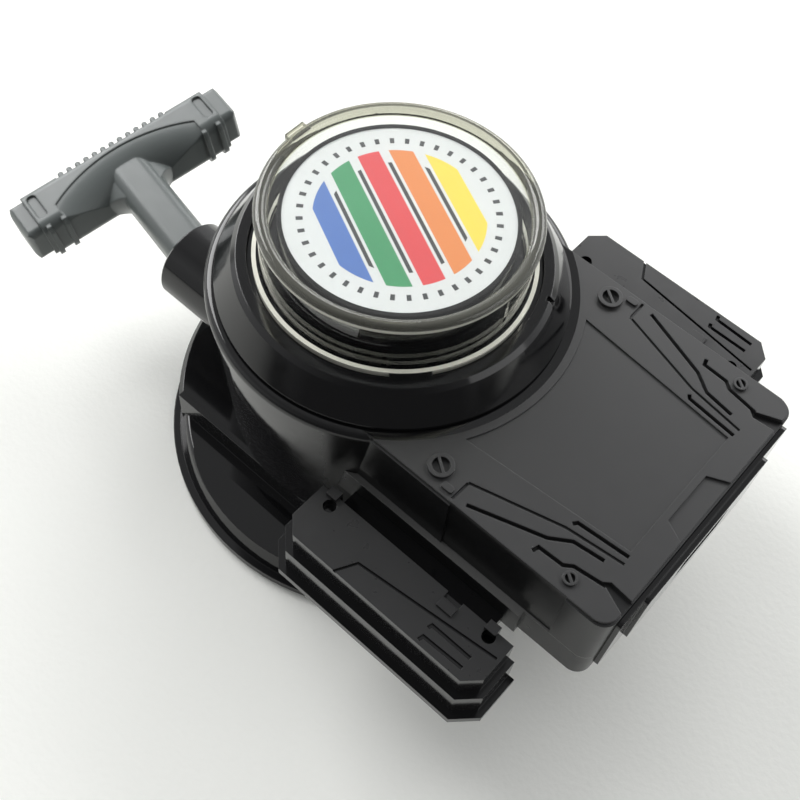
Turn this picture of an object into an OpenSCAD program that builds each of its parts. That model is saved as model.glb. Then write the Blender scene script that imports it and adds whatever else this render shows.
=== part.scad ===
// Pull-cord launcher for spinning tops: a round drum on a wide skirt, a box body
// with two side pods, a clear display dial, a T handle on a cord, and a hooked
// hub under the skirt that a cord spool drives through two pairs of gears.
// Lengths are in millimetres, +Z is up, and the origin is on the hub axis at the foot.

/* [Base skirt] */
// Radius of the foot flange that the launcher stands on
base_r = 38.9; // [37.5:0.1:44]
// Height of the foot flange
flange_h = 1.6; // [1:0.1:2.2]
// Ledge between the foot flange and the skirt wall
flange_ledge = 1.2; // [0.6:0.1:1.8]
// Height of the low shoulders at the front and the rear
shoulder_h = 6.2; // [5.6:0.1:7]
// Drop of the sloping outer part of each shoulder
shoulder_drop = 0.9; // [0.4:0.1:1.2]
// Inward lean of the skirt wall
skirt_lean = 1.3; // [0.6:0.1:2]
// Height of the raised block under the drum
block_h = 12; // [11.6:0.1:13]
// Half width of the raised block
block_half_w = 26.8; // [26:0.1:28]
// Bevel along the top of the raised block
block_bevel = 0.8; // [0.4:0.1:1.2]
// Wall thickness of the skirt
skirt_wall = 2.4; // [2:0.1:3]
// Thickness of the floor between the skirt hollow and the drum
floor_t = 3.4; // [3:0.1:3.8]
// Radius of the rounding along the skirt's top edge
skirt_round = 0.9; // [0.5:0.1:1.2]

/* [Drum and box] */
// Radius of the drum at its top
drum_r = 30.2; // [29.6:0.1:31.5]
// How much narrower the drum is at its foot
drum_taper = 2.8; // [1.6:0.1:3]
// Height of the flat deck
deck_z = 45.5; // [44.5:0.1:48]
// Radius of the rounded edge round the drum's top
drum_round = 1.3; // [0.8:0.1:1.4]
// Half width of the box body
box_half_w = 24.7; // [23.5:0.1:25.3]
// Distance from the hub axis to the end of the box shell
box_end_x = 61; // [58:0.5:66]
// Radius of the upright corners at the end of the box
box_corner_r = 2.6; // [2:0.1:3.4]
// Height of the parting line between the upper shell and the box floor
box_split_z = 32.1; // [31:0.1:33]
// Height of the underside of the box
box_foot_z = 25.8; // [25.2:0.1:26.5]
// Width of the ledge along each side at the parting line
ledge_w = 1.05; // [0.6:0.05:1.4]
// Wall thickness of the moulded shells
shell_wall = 2.2; // [1.8:0.1:2.4]
// Bevel along the deck's outer edge
deck_bevel = 0.6; // [0.3:0.1:0.9]
// Depth of the fine lines moulded into the deck and the pods
line_depth = 0.4; // [0.2:0.05:0.6]
// Depth of the broad grooves in the deck
groove_depth = 0.8; // [0.5:0.05:1]
// How far the deck's middle panel is sunk
panel_depth = 0.25; // [0.15:0.05:0.35]
// Depth of the long recess in each side wall of the box
side_recess = 0.35; // [0.2:0.05:0.5]
// Width of the fine moulded lines
line_w = 0.45; // [0.3:0.05:0.6]
// Width of the broad grooves
groove_w = 0.62; // [0.5:0.02:0.8]
// Radius of the larger barred bosses on the deck
boss_r = 2.05; // [1.6:0.05:2.3]
// Radius of the smaller barred bosses on the deck
small_boss_r = 1.15; // [0.9:0.05:1.3]
// Height of the larger bosses above the deck
boss_rise = 0.6; // [0.4:0.05:0.8]

/* [Side pods] */
// Distance from the hub axis to the near end of each pod
pod_near_x = 13.9; // [13.5:0.1:15]
// Length of each pod
pod_len = 37.6; // [36.5:0.1:39]
// Distance from the side of the box floor to the inner face of each pod
pod_stand = 5.05; // [4.5:0.05:6]
// Width of each pod at its top
pod_w = 9.2; // [8.6:0.1:10]
// Height of the top of the pods
pod_top_z = 34.6; // [34:0.1:36]
// Height of the foot of the pods
pod_foot_z = 22.3; // [21.5:0.1:23]
// Height of the upper step on the pods' outer wall
pod_step_z = 29.7; // [29:0.1:30.5]
// Height of the lower step on the pods' outer wall
pod_flange_z = 23.8; // [23.4:0.1:24.4]
// Width of each step
pod_step_w = 1.1; // [0.7:0.05:1.3]
// Chamfer across the pods' outer corners
pod_chamfer = 2.4; // [1.8:0.1:3]

/* [Dial and cap] */
// Ledge of the drum round the dial's foot
dial_ledge = 1.6; // [1.4:0.1:2.2]
// Inward lean of the dial's wall
dial_lean = 3.3; // [2.1:0.1:3.6]
// Height of the dial
dial_h = 5.9; // [5.7:0.1:6.4]
// Distance from the dial's top edge to the cap's bead
cap_inset = 3.4; // [2.9:0.05:3.8]
// Height of the cap above its seat
cap_h = 11.6; // [10.8:0.1:12.6]
// Wall thickness of the cap
cap_wall = 1.4; // [1.1:0.05:1.6]
// Radius of the section of the cap's top bead
bead_r = 1.05; // [0.9:0.05:1.3]
// Distance from the cap's bead to the edge of the printed disc
disc_inset = 4.2; // [4:0.1:5]
// Width of the key that fits the gap in the cap's flange
key_w = 6.4; // [4.8:0.1:7.4]
// Turning angle of the dial between its stops
dial_turn = 45; // [30:1:45]

/* [Cord and handle] */
// Radius of the cord
cord_r = 0.7; // [0.5:0.05:0.8]
// How far the spool's flanges stand out beyond the full winding
winding_lip = 1.95; // [1.5:0.05:2.4]
// Outer radius of the neck that the cord leaves through
neck_r = 7.4; // [7:0.05:7.8]
// How far the neck's mouth stands out from the drum
neck_reach = 6.7; // [5.3:0.1:8.8]
// Wall thickness of the neck
neck_wall = 1.5; // [1.2:0.1:1.7]
// Distance from the stem's tip to the middle of the handle bar
stem_len = 24.9; // [23:0.1:28]
// Width of the stem
stem_w = 8.3; // [7.6:0.1:8.6]
// Height of the stem
stem_h = 7; // [6.4:0.1:7.4]
// Angle of the stem in the neck's mouth, seen from above
stem_yaw = 11.7; // [8:0.1:12]
// Roll of the bar about the stem
bar_roll = 9; // [0:0.5:12]
// Length of the handle bar
bar_len = 45; // [42:0.1:52]
// Depth of the handle bar along the stem
bar_d = 9.6; // [9:0.1:11]
// Height of the handle bar
bar_h = 9; // [8.4:0.1:10]
// Rounding of the bar's long edges
bar_round = 1.9; // [1.5:0.1:2.6]
// Number of grip ribs on the bar
rib_count = 13; // [9:2:15]

/* [Gears and spool] */
// Largest gear module, made smaller where the drum leaves less room
gear_size = 0.7; // [0.66:0.01:0.72]
// Teeth on the spool gear
spool_teeth = 28; // [28:4:28]
// Teeth on the counter pinion
pinion_teeth = 12; // [12:4:12]
// Teeth on the counter gear
counter_teeth = 24; // [24:4:24]
// Teeth on the hub pinion
hub_teeth = 16; // [16:4:16]
// Face width of the gears
gear_w = 3.2; // [3:0.1:3.4]
// Play between meshing teeth
tooth_play = 0.16; // [0.1:0.02:0.2]
// Radius of the drive shaft
shaft_r = 2; // [1.8:0.05:2.2]
// Width of the winding between the spool's flanges
winding_w = 7.4; // [7:0.1:7.8]
// Largest radius of the spool's flanges, made smaller where the posts stand closer
spool_size = 14; // [13.6:0.1:14.6]
// Radius of the hooked hub's disc
holder_r = 12.6; // [12:0.1:14]
// Radius of the socket in the middle of the hub
socket_r = 5; // [4.5:0.1:5.4]
// Depth of the socket in the middle of the hub
socket_depth = 2.8; // [2.4:0.1:3]

/* [Hidden] */
// Overrun of every cut beyond the face it opens
overrun = 1;
// Gap between pieces that move past each other
run_gap = 0.3;
// Wider gap between layers of the mechanism
layer_gap = 0.4;
// Radial clearance of running fits
run_fit = 0.05;
// Clearance between pieces fixed to each other
fit_gap = 0.04;
// Facets that stand for a true circle
circle_facets = 72;
$fn = circle_facets;
// Sides of hexagonal keys
hex_sides = 6;
// Half of a whole
half = 1 / 2;
// Degrees in a turn
turn = 360;

// Skirt, from its foot upward
skirt_foot_r = base_r - flange_ledge;
skirt_top_r = skirt_foot_r - skirt_lean;
skirt_cavity_r = skirt_top_r - skirt_wall;
block_r = skirt_foot_r - skirt_lean * half;
shoulder_cavity_z = shoulder_h - skirt_wall;
cavity_top_z = block_h - floor_t;
block_cavity_half_w = block_half_w - skirt_wall;
slope_start_y = block_half_w + 2 * (skirt_wall - shoulder_drop * half);
shaft_boss_r = shaft_r + 2 * skirt_wall;

// Drum and box
drum_foot_r = drum_r - drum_taper;
drum_side_z = deck_z - drum_round;
ceiling_z = deck_z - shell_wall - line_depth;
tray_half_w = box_half_w + ledge_w;
tray_step_share = 0.805;
tray_step_x = box_end_x * tray_step_share;
recess_shares = [0.536, 0.88];
pod_inner_y = max(tray_half_w + pod_stand, drum_r + 2 * run_gap);

// Screw posts stand on the corners of a rectangle inside the drum
axle_r = shaft_r * half;
post_r = 3 * axle_r;
post_angle = 65;
post_ring_r = drum_foot_r - shell_wall - post_r - axle_r * 0.7;
post_x = post_ring_r * cos(post_angle);
post_y = post_ring_r * sin(post_angle);
screw_r = post_r * 0.42;
screw_head_r = screw_r * 1.8;
screw_head_h = screw_r * 1.2;
plate_r = post_ring_r + post_r;

// Gear pitch radii and the layers of the mechanism; the counter gear fits in the drum
addendum_share = 0.8;
dedendum_share = 1.05;
gear_reach = (spool_teeth + pinion_teeth + counter_teeth) * half + addendum_share;
gear_module = min(gear_size, (drum_foot_r - shell_wall - layer_gap) / gear_reach);
spool_pitch_r = gear_module * spool_teeth * half;
pinion_pitch_r = gear_module * pinion_teeth * half;
counter_pitch_r = gear_module * counter_teeth * half;
hub_pitch_r = gear_module * hub_teeth * half;
counter_x = spool_pitch_r + pinion_pitch_r;
pressure_angle = 25;
flank_steps = 5;
hub_pinion_z = block_h + 2 * layer_gap;
counter_gear_z = block_h + shell_wall * half;
spool_gear_z = counter_gear_z + gear_w + 2 * run_gap;
plate_z = spool_gear_z + gear_w + run_gap + fit_gap;
plate_t = shell_wall * 0.7;
spool_z = plate_z + plate_t + layer_gap;
spool_flange_t = shell_wall * half;
cord_z = spool_z + spool_flange_t + winding_w * half;
spool_top_z = cord_z + winding_w * half + spool_flange_t;
cover_z = spool_top_z + layer_gap;
cover_t = spool_flange_t;
spring_cup_z = cover_z + cover_t;
spool_flange_r = min(spool_size, post_ring_r - post_r - 2 * layer_gap);
winding_r = spool_flange_r - winding_lip;
spool_core_r = winding_r - 6.4 * cord_r;
spool_key_r = spool_pitch_r * 0.65;
arbor_r = spool_core_r * 0.66;
spring_cup_wall = shell_wall * 0.7;
spring_cup_r = post_ring_r - post_r - spring_cup_wall - 2 * fit_gap;

// Neck and handle; the cord leaves the spool on a tangent
cord_y = winding_r - cord_r;
stem_shift_y = cord_r * 0.9;
neck_mouth_x = drum_r + neck_reach;
neck_bore_r = neck_r - neck_wall;
stem_tip_x = neck_mouth_x - neck_wall;
stem_tip_r = stem_h * half;
neck_seat_x = stem_tip_x - stem_tip_r - run_gap;
neck_web_t = 2 * neck_wall;
neck_seam_angle = -100;
neck_inner_x = spool_flange_r + 5.5 * cord_r;
eyelet_r = 3.4 * cord_r;
eyelet_bore_r = 1.7 * cord_r;
knot_r = 2.8 * cord_r;
cord_bore_r = 1.5 * cord_r;
cover_plug_t = spool_flange_t;

// Dial, holder, disc and cap
dial_r = drum_r - dial_ledge;
dial_top_r = dial_r - dial_lean;
cap_r = dial_top_r - cap_inset;
disc_r = cap_r - disc_inset;
dial_z = deck_z + run_gap;
dial_top_z = deck_z + dial_h + run_gap;
turret_r = dial_top_r - 2 * shell_wall - 3 * run_gap;
turret_z = deck_z + dial_h * half;
turret_hollow_r = spring_cup_r;
dial_bore_r = turret_r + run_gap;
dial_flange_z = turret_z - run_gap;
retainer_r = turret_r + shell_wall;
retainer_t = spool_flange_t;
holder_seat_z = turret_z + retainer_t + run_gap;
holder_flange_r = cap_r + bead_r * 1.2;
holder_flange_t = spool_flange_t * 0.85;
cap_seat_z = holder_seat_z + holder_flange_t;
cap_top_z = cap_seat_z + cap_h;
cap_wall_r = cap_r - bead_r * half;
cap_inner_r = cap_wall_r - cap_wall;
cap_flange_r = cap_r + bead_r * half;
cap_plate_z = cap_top_z - bead_r * 1.9;
cap_plate_t = bead_r;
pedestal_r = disc_r + 1.5 * line_w;
pedestal_top_z = cap_plate_z - layer_gap;
disc_t = cord_r * 0.6;
disc_z = pedestal_top_z - disc_t - run_gap * half;
key_angle = -43;
index_angle = 23;
peg_r = boss_r * 0.7;
peg_ring_r = (dial_bore_r + dial_r) * half;
peg_angle = 180 - dial_turn * half;

// Hooked hub under the skirt
holder_top_z = cavity_top_z - layer_gap;
holder_t = shell_wall + run_gap;
holder_disc_z = holder_top_z - holder_t;
holder_foot_z = flange_h * 0.65;
shaft_foot_z = holder_foot_z + socket_depth + shell_wall * 0.4;
hook_count = 3;
hook_wall_sweep = 40;
hook_tip_sweep = 66;
screw_start_angle = 30;
boss_bar_angle = -35;
spoke_count = 8;
hook_inner_r = holder_r * 0.72;
hook_wall = shell_wall * 0.8;
shaft_top_z = turret_z - shell_wall - 2 * run_gap;
bearing_foot_z = ceiling_z - run_gap;

// Deck lines, as shares of the box length and of its half width
panel_side_shares = [[0.452, 0.607], [0.921, 0.514]];
ridge_groove_shares = [[0.566, 0.938], [0.758, 0.778], [0.808, 0.693], [0.89, 0.666]];
edge_groove_shares = [[0.752, 0.9], [0.757, 0.857], [0.826, 0.85], [0.846, 0.813], [0.93, 0.785]];
short_groove_shares = [[0.779, 0.606], [0.787, 0.58], [0.927, 0.55]];
edge_notch_shares = [[0.918, 0.775], [0.934, 0.744], [1.06, 0.77], [1.06, 0.87], [1, 0.862]];
slope_line_shares = [[0.533, 0.82], [0.774, 0.652], [0.93, 0.605]];
tab_line_shares = [[0.531, 0.965], [0.533, 0.824]];
tab_shares = [0.506, 0.93];
end_notch_shares = [[1.1, -0.39], [0.94, -0.2], [0.94, 0.2], [1.1, 0.39]];
large_boss_shares = [0.457, 0.85];
small_boss_shares = [0.858, 0.89];
boss_recess_share = 0.66;
// Pod lines, as shares of the pod's length and width
pod_line_shares = [[0.275, 1.1], [0.336, 0.637], [0.985, 0.343]];
pod_slot_shares = [[[0.711, 0.69], [0.717, 0.613], [0.908, 0.616]],
    [[0.714, 0.94], [0.72, 0.846], [0.91, 0.822]]];
pod_lug_shares = [0.068, 0.9];
pod_hole_shares = [[0.083, 0.21], [0.905, 0.15]];
pod_tab_shares = [0.672, 0.155];
pod_rib_shares = [1 / 3, 2 / 3];

// Named colours for a quick look
black = [0.05, 0.05, 0.055];
charcoal = [0.11, 0.11, 0.12];
grey = [0.42, 0.43, 0.45];
clear = [0.85, 0.9, 0.95, 0.35];
white = [0.9, 0.9, 0.9];
steel = [0.7, 0.71, 0.73];
cream = [0.86, 0.83, 0.74];

// Piece to show

// Flat shape: one rounded rectangle about the origin
module rounded_rect(w, d, r) {
    square([w - 2 * r, d], center = true);
    square([w, d - 2 * r], center = true);
    for (sx = [-1, 1], sy = [-1, 1])
        translate([sx * (w * half - r), sy * (d * half - r)])
            circle(r);
}

// Sideways step from a line through points to its mitred edge, at point i
function side_step(a, b) = [a[1] - b[1], b[0] - a[0]] / norm(b - a);
function mitre(points, i) =
    let (last = len(points) - 1,
        before = side_step(points[max(i - 1, 0)], points[max(i, 1)]),
        after = side_step(points[min(i, last - 1)], points[min(i + 1, last)]))
    (before + after) / (1 + before * after);

// Flat shape: a line of constant width through a list of points
module line_path(points, w) {
    last = len(points) - 1;
    polygon(concat([for (i = [0 : last]) points[i] + mitre(points, i) * w * half],
        [for (i = [last : -1 : 0]) points[i] - mitre(points, i) * w * half]));
}

// Points from shares of a length and a width
function spread(shares, length, width, start = [0, 0]) =
    [for (s = shares) start + [s[0] * length, s[1] * width]];

// Half angle of a tooth at radius r, from the involute of its base circle
function involute_turn(a) = tan(a) * 180 / PI - a;
function tooth_half_angle(r, pitch_r, teeth) =
    let (base = pitch_r * cos(pressure_angle), at = max(r, base))
    90 / teeth - tooth_play / pitch_r * 45 / PI
    + involute_turn(pressure_angle) - involute_turn(acos(min(base / at, 1)));

// Outline of a spur gear with its first tooth at the given angle
function gear_outline(teeth, first) =
    let (pitch_r = gear_module * teeth * half,
        root = pitch_r - gear_module * dedendum_share,
        tip = pitch_r + gear_module * addendum_share)
    [for (i = [0 : teeth - 1], k = [0 : 2 * flank_steps + 1])
        let (up = k <= flank_steps,
            step = up ? k : 2 * flank_steps + 1 - k,
            r = root + (tip - root) * step / flank_steps,
            swing = tooth_half_angle(r, pitch_r, teeth),
            a = first + turn * i / teeth + (up ? -swing : swing))
        [r * cos(a), r * sin(a)]];

module gear_blank(teeth, width, first = 0) {
    linear_extrude(width)
        polygon(gear_outline(teeth, first));
}

// Copies on the corners of the screw rectangle
module at_posts() {
    for (sx = [-1, 1], sy = [-1, 1])
        translate([sx * post_x, sy * post_y, 0])
            children();
}

// Copies on both sides of the middle plane
module both_sides() {
    children();
    mirror([0, 1, 0])
        children();
}

module base_skirt() {
    color(black)
    difference() {
        union() {
            skirt_shell();
            raised_block();
            at_posts()
                translate([0, 0, block_h - overrun])
                    cylinder(r = post_r, h = plate_z - block_h + overrun);
            translate([counter_x, 0, block_h - overrun])
                cylinder(r = 2.4 * axle_r, h = counter_gear_z - run_gap - block_h + overrun);
        }
        skirt_cavity();
        translate([0, 0, cavity_top_z - overrun])
            cylinder(r = shaft_boss_r * 0.66, h = floor_t + 2 * overrun);
        translate([counter_x, 0, cavity_top_z + floor_t * 0.3])
            cylinder(r = axle_r + fit_gap, h = floor_t);
        at_posts() {
            translate([0, 0, cavity_top_z - overrun])
                cylinder(r = screw_r + 3 * fit_gap, h = plate_z);
            translate([0, 0, cavity_top_z - overrun])
                cylinder(r = screw_head_r + run_gap, h = screw_head_h + overrun);
        }
    }
}

module skirt_shell() {
    cylinder(r = base_r, h = flange_h);
    difference() {
        union() {
            translate([0, 0, flange_h - line_depth])
                cylinder(r1 = skirt_foot_r, r2 = skirt_top_r,
                    h = shoulder_h - skirt_round - flange_h + line_depth);
            translate([0, 0, shoulder_h - skirt_round - overrun])
                cylinder(r = skirt_top_r - skirt_round, h = skirt_round + overrun);
            translate([0, 0, shoulder_h - skirt_round])
                rotate_extrude()
                    translate([skirt_top_r - skirt_round, 0])
                        circle(skirt_round);
        }
        both_sides()
            translate([0, slope_start_y, shoulder_h])
                rotate([-atan(shoulder_drop / (skirt_top_r - slope_start_y)), 0, 0])
                    translate([-base_r, 0, 0])
                        cube([2 * base_r, base_r, shoulder_h]);
    }
}

module raised_block() {
    intersection() {
        union() {
            translate([0, 0, flange_h])
                cylinder(r = block_r, h = block_h - flange_h - block_bevel);
            translate([0, 0, block_h - block_bevel])
                cylinder(r1 = block_r, r2 = block_r - block_bevel, h = block_bevel);
        }
        rotate([90, 0, 90])
            linear_extrude(2 * base_r, center = true)
                polygon([[-block_half_w, 0], [block_half_w, 0],
                    [block_half_w, block_h - block_bevel], [block_half_w - block_bevel, block_h],
                    [block_bevel - block_half_w, block_h], [-block_half_w, block_h - block_bevel]]);
    }
}

module skirt_cavity() {
    difference() {
        union() {
            translate([0, 0, -overrun])
                cylinder(r = skirt_cavity_r, h = shoulder_cavity_z + overrun);
            intersection() {
                cylinder(r = skirt_cavity_r, h = cavity_top_z);
                translate([-base_r, -block_cavity_half_w, 0])
                    cube([2 * base_r, 2 * block_cavity_half_w, cavity_top_z]);
            }
        }
        // Stiffening ring and spokes in the roof of the hollow
        translate([0, 0, cavity_top_z - layer_gap - run_gap])
            difference() {
                cylinder(r = holder_r + 2 * shell_wall, h = floor_t);
                translate([0, 0, -overrun])
                    cylinder(r = holder_r + shell_wall, h = floor_t + 2 * overrun);
            }
        for (i = [0 : spoke_count - 1])
            rotate(turn * i / spoke_count)
                translate([holder_r + 1.5 * shell_wall, -line_w, cavity_top_z - layer_gap - run_gap])
                    cube([base_r, 2 * line_w, floor_t]);
    }
}

// Outer form of the drum, grown by the given amount
module drum_form(grow = 0) {
    translate([0, 0, block_h])
        cylinder(r1 = drum_foot_r + grow, r2 = drum_r + grow, h = drum_side_z - block_h);
    translate([0, 0, drum_side_z - overrun])
        cylinder(r = drum_r - drum_round + grow, h = drum_round + overrun);
    translate([0, 0, drum_side_z])
        rotate_extrude()
            translate([drum_r - drum_round, 0])
                circle(drum_round + grow);
}

// Plan of the box from the hub axis to its end
module box_plan(half_w, end_x) {
    square_end = end_x - box_corner_r;
    translate([0, -half_w])
        square([square_end, 2 * half_w]);
    translate([0, box_corner_r - half_w])
        square([end_x, 2 * half_w - 2 * box_corner_r]);
    for (side = [-1, 1])
        translate([square_end, side * (half_w - box_corner_r)])
            circle(box_corner_r);
}

module upper_housing() {
    color(charcoal)
    difference() {
        union() {
            drum_form();
            translate([0, 0, box_split_z])
                linear_extrude(deck_z - box_split_z - deck_bevel)
                    box_plan(box_half_w, box_end_x);
            translate([0, 0, deck_z - deck_bevel - line_depth])
                linear_extrude(deck_bevel + line_depth)
                    box_plan(box_half_w - deck_bevel * half, box_end_x - deck_bevel * half);
            translate([0, 0, deck_z - overrun])
                cylinder(r = turret_r, h = turret_z - deck_z + overrun);
            for (side = [-1, 1]) {
                deck_boss(large_boss_shares, side, boss_r, boss_rise);
                deck_boss(small_boss_shares, side, small_boss_r, line_depth);
                translate([tab_shares[0] * box_end_x, side * tab_shares[1] * box_half_w, deck_z - line_depth])
                    linear_extrude(2 * line_depth)
                        rounded_rect(boss_r, small_boss_r, line_w);
            }
        }
        difference() {
            union() {
                drum_hollow();
                box_hollow();
            }
            inner_posts();
        }
        post_pilots();
        deck_lines();
        for (side = [-1, 1]) {
            boss_recess(large_boss_shares, side, boss_r, boss_rise);
            boss_recess(small_boss_shares, side, small_boss_r, line_depth);
        }
        peg_slot();
        // Neck hole through the drum wall
        translate([-neck_inner_x, -cord_y, cord_z])
            rotate([0, -90, 0])
                cylinder(r = neck_r + fit_gap, h = neck_mouth_x);
        // Socket opening in the end wall
        translate([box_end_x - shell_wall * half, 0, socket_mid_z])
            cube([2 * shell_wall + 2 * overrun, pocket_w + 2 * fit_gap, pocket_h + 2 * fit_gap],
                center = true);
        both_sides()
            translate([box_end_x * recess_shares[0], box_half_w - side_recess, box_split_z - overrun])
                cube([box_end_x * (recess_shares[1] - recess_shares[0]), box_half_w, deck_z]);
    }
}

module drum_hollow() {
    translate([0, 0, block_h - overrun])
        cylinder(r = drum_foot_r - shell_wall, h = 2 * overrun);
    translate([0, 0, block_h])
        cylinder(r1 = drum_foot_r - shell_wall, r2 = drum_r - shell_wall - drum_round * half,
            h = ceiling_z - block_h);
    translate([0, 0, ceiling_z - overrun])
        cylinder(r = turret_hollow_r, h = turret_z - shell_wall - ceiling_z + overrun);
}

module box_hollow() {
    difference() {
        translate([0, 0, box_split_z - overrun])
            linear_extrude(ceiling_z - box_split_z + overrun)
                box_plan(box_half_w - shell_wall, box_end_x - shell_wall);
        drum_form();
    }
}

// Posts, spring cup and shaft bearing that hang from the deck
module inner_posts() {
    at_posts()
        translate([0, 0, plate_z + plate_t])
            cylinder(r = post_r, h = deck_z - plate_z);
    translate([0, 0, spring_cup_z])
        difference() {
            cylinder(r = spring_cup_r + spring_cup_wall, h = deck_z - spring_cup_z);
            translate([0, 0, -overrun])
                cylinder(r = spring_cup_r, h = deck_z);
        }
    translate([0, 0, bearing_foot_z])
        difference() {
            cylinder(r = arbor_r, h = turret_z - bearing_foot_z);
            translate([0, 0, -overrun])
                cylinder(r = shaft_r + run_fit, h = shaft_top_z + run_gap - bearing_foot_z + overrun);
        }
    both_sides()
        translate([box_post_x, box_post_y, box_split_z])
            cylinder(r = post_r, h = deck_z - box_split_z);
}

module post_pilots() {
    at_posts()
        translate([0, 0, plate_z])
            cylinder(r = screw_r + fit_gap, h = screw_bite + plate_t + overrun);
    both_sides()
        translate([box_post_x, box_post_y, box_split_z - overrun])
            cylinder(r = screw_r + fit_gap, h = screw_bite + overrun);
    for (i = [0 : hook_count - 1])
        rotate(turn * i / hook_count + screw_start_angle)
            translate([retainer_screw_ring_r, 0, turret_z - shell_wall + fit_gap])
                cylinder(r = small_screw_r + fit_gap, h = shell_wall + overrun);
}

box_post_x = box_end_x - 3 * post_r;
box_post_y = box_half_w - shell_wall - post_r * 0.8;
screw_bite = 3 * post_r;
small_screw_r = screw_r * 0.7;
retainer_screw_ring_r = turret_r - 3 * small_screw_r;
pocket_w = box_half_w * 0.58;
pocket_h = post_r * 2.8;
pocket_wall = shell_wall * half;
pocket_depth = pocket_h;
socket_mid_z = (box_split_z + ceiling_z) * half;
end_plate_t = shell_wall * 0.7;

module deck_lines() {
    translate([0, 0, deck_z - groove_depth])
        linear_extrude(overrun + groove_depth)
            both_sides() {
                for (shares = [ridge_groove_shares, edge_groove_shares, short_groove_shares])
                    line_path(spread(shares, box_end_x, box_half_w), groove_w);
                polygon(spread(edge_notch_shares, box_end_x, box_half_w));
            }
    translate([0, 0, deck_z - line_depth])
        linear_extrude(overrun + line_depth) {
            both_sides()
                for (shares = [slope_line_shares, tab_line_shares])
                    line_path(spread(shares, box_end_x, box_half_w), line_w);
            polygon(spread(end_notch_shares, box_end_x, box_half_w));
        }
    translate([0, 0, deck_z - panel_depth])
        linear_extrude(overrun + panel_depth)
            middle_panel();
}

// Deck panel with straight sides, a straight far end and an arc at its near end
module middle_panel() {
    side = spread(panel_side_shares, box_end_x, box_half_w);
    start = side[0] + (side[0] - side[1]) * half;
    difference() {
        polygon([start, side[1], [side[1][0], -side[1][1]], [start[0], -start[1]]]);
        circle(norm(side[0]));
    }
}

// Raised round boss on the deck
module deck_boss(shares, side, r, rise) {
    translate([shares[0] * box_end_x, side * shares[1] * box_half_w, deck_z - line_depth])
        cylinder(r = r, h = rise + line_depth);
}

// Round recess in a boss, crossed by a bar
module boss_recess(shares, side, r, rise) {
    recess_r = r * boss_recess_share;
    translate([shares[0] * box_end_x, side * shares[1] * box_half_w, deck_z + rise - groove_depth])
        difference() {
            cylinder(r = recess_r, h = groove_depth + overrun);
            rotate(boss_bar_angle)
                cube([2 * r, line_w, 2 * groove_depth], center = true);
        }
}

// Arc slot that the dial's peg runs in; its ends are the dial's stops
module peg_slot() {
    peg_room = peg_r + run_gap;
    room_angle = asin(peg_room / peg_ring_r);
    start = peg_angle - room_angle;
    end = peg_angle + dial_turn + room_angle;
    translate([0, 0, ceiling_z - overrun])
        linear_extrude(deck_z - ceiling_z + 2 * overrun)
            intersection() {
                difference() {
                    circle(peg_ring_r + peg_room);
                    circle(peg_ring_r - peg_room);
                }
                polygon([[0, 0], 2 * peg_ring_r * [cos(start), sin(start)], [-3 * peg_ring_r, 0],
                    2 * peg_ring_r * [cos(end), sin(end)]]);
            }
}

module box_floor() {
    color(black)
    difference() {
        union() {
            translate([0, 0, box_foot_z])
                linear_extrude(box_split_z - box_foot_z) {
                    box_plan(box_half_w, box_end_x);
                    translate([0, -tray_half_w])
                        square([tray_step_x, 2 * tray_half_w]);
                }
        }
        difference() {
            translate([0, 0, box_foot_z + shell_wall])
                linear_extrude(box_split_z)
                    box_plan(box_half_w - shell_wall, box_end_x - shell_wall);
            drum_form(shell_wall);
            both_sides()
                translate([box_post_x, box_post_y, box_foot_z])
                    cylinder(r = post_r, h = box_split_z);
        }
        drum_form(fit_gap);
        both_sides()
            translate([box_post_x, box_post_y, box_foot_z - overrun]) {
                cylinder(r = screw_r + 3 * fit_gap, h = box_split_z);
                cylinder(r = screw_head_r + run_gap, h = screw_head_h + overrun);
            }
    }
}

// Cover on the end of the box, with a pocket that a grip can slide into
module end_plate() {
    mid_z = (box_foot_z + deck_z) * half;
    plate_h = deck_z - box_foot_z - 2 * deck_bevel - 2 * ledge_w;
    color(black)
    difference() {
        union() {
            translate([box_end_x + fit_gap, 0, mid_z])
                rotate([90, 0, 90])
                    linear_extrude(end_plate_t * half)
                        rounded_rect(2 * box_half_w - 2 * box_corner_r, plate_h, ledge_w);
            translate([box_end_x + fit_gap, 0, mid_z])
                rotate([90, 0, 90])
                    linear_extrude(end_plate_t)
                        rounded_rect(1.3 * box_half_w, plate_h - 2 * ledge_w, ledge_w);
            translate([box_end_x - pocket_depth, -pocket_w * half, socket_mid_z - pocket_h * half])
                cube([pocket_depth + end_plate_t * half, pocket_w, pocket_h]);
        }
        translate([box_end_x - pocket_depth + pocket_wall, pocket_wall - pocket_w * half,
            socket_mid_z - pocket_h * half + pocket_wall])
            cube([pocket_depth + 2 * overrun, pocket_w - 2 * pocket_wall, pocket_h - 2 * pocket_wall]);
    }
}

// Plan of a pod, grown outward by the given amount
module pod_plan(grow = 0) {
    cut = pod_chamfer;
    far_x = pod_near_x + pod_len;
    outer_y = pod_inner_y + pod_w;
    polygon([[pod_near_x - grow, pod_inner_y], [far_x + grow, pod_inner_y],
        [far_x + grow, outer_y - cut + grow * half], [far_x - cut + grow * half, outer_y + grow],
        [pod_near_x + cut - grow * half, outer_y + grow], [pod_near_x - grow, outer_y - cut + grow * half]]);
}

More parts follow.
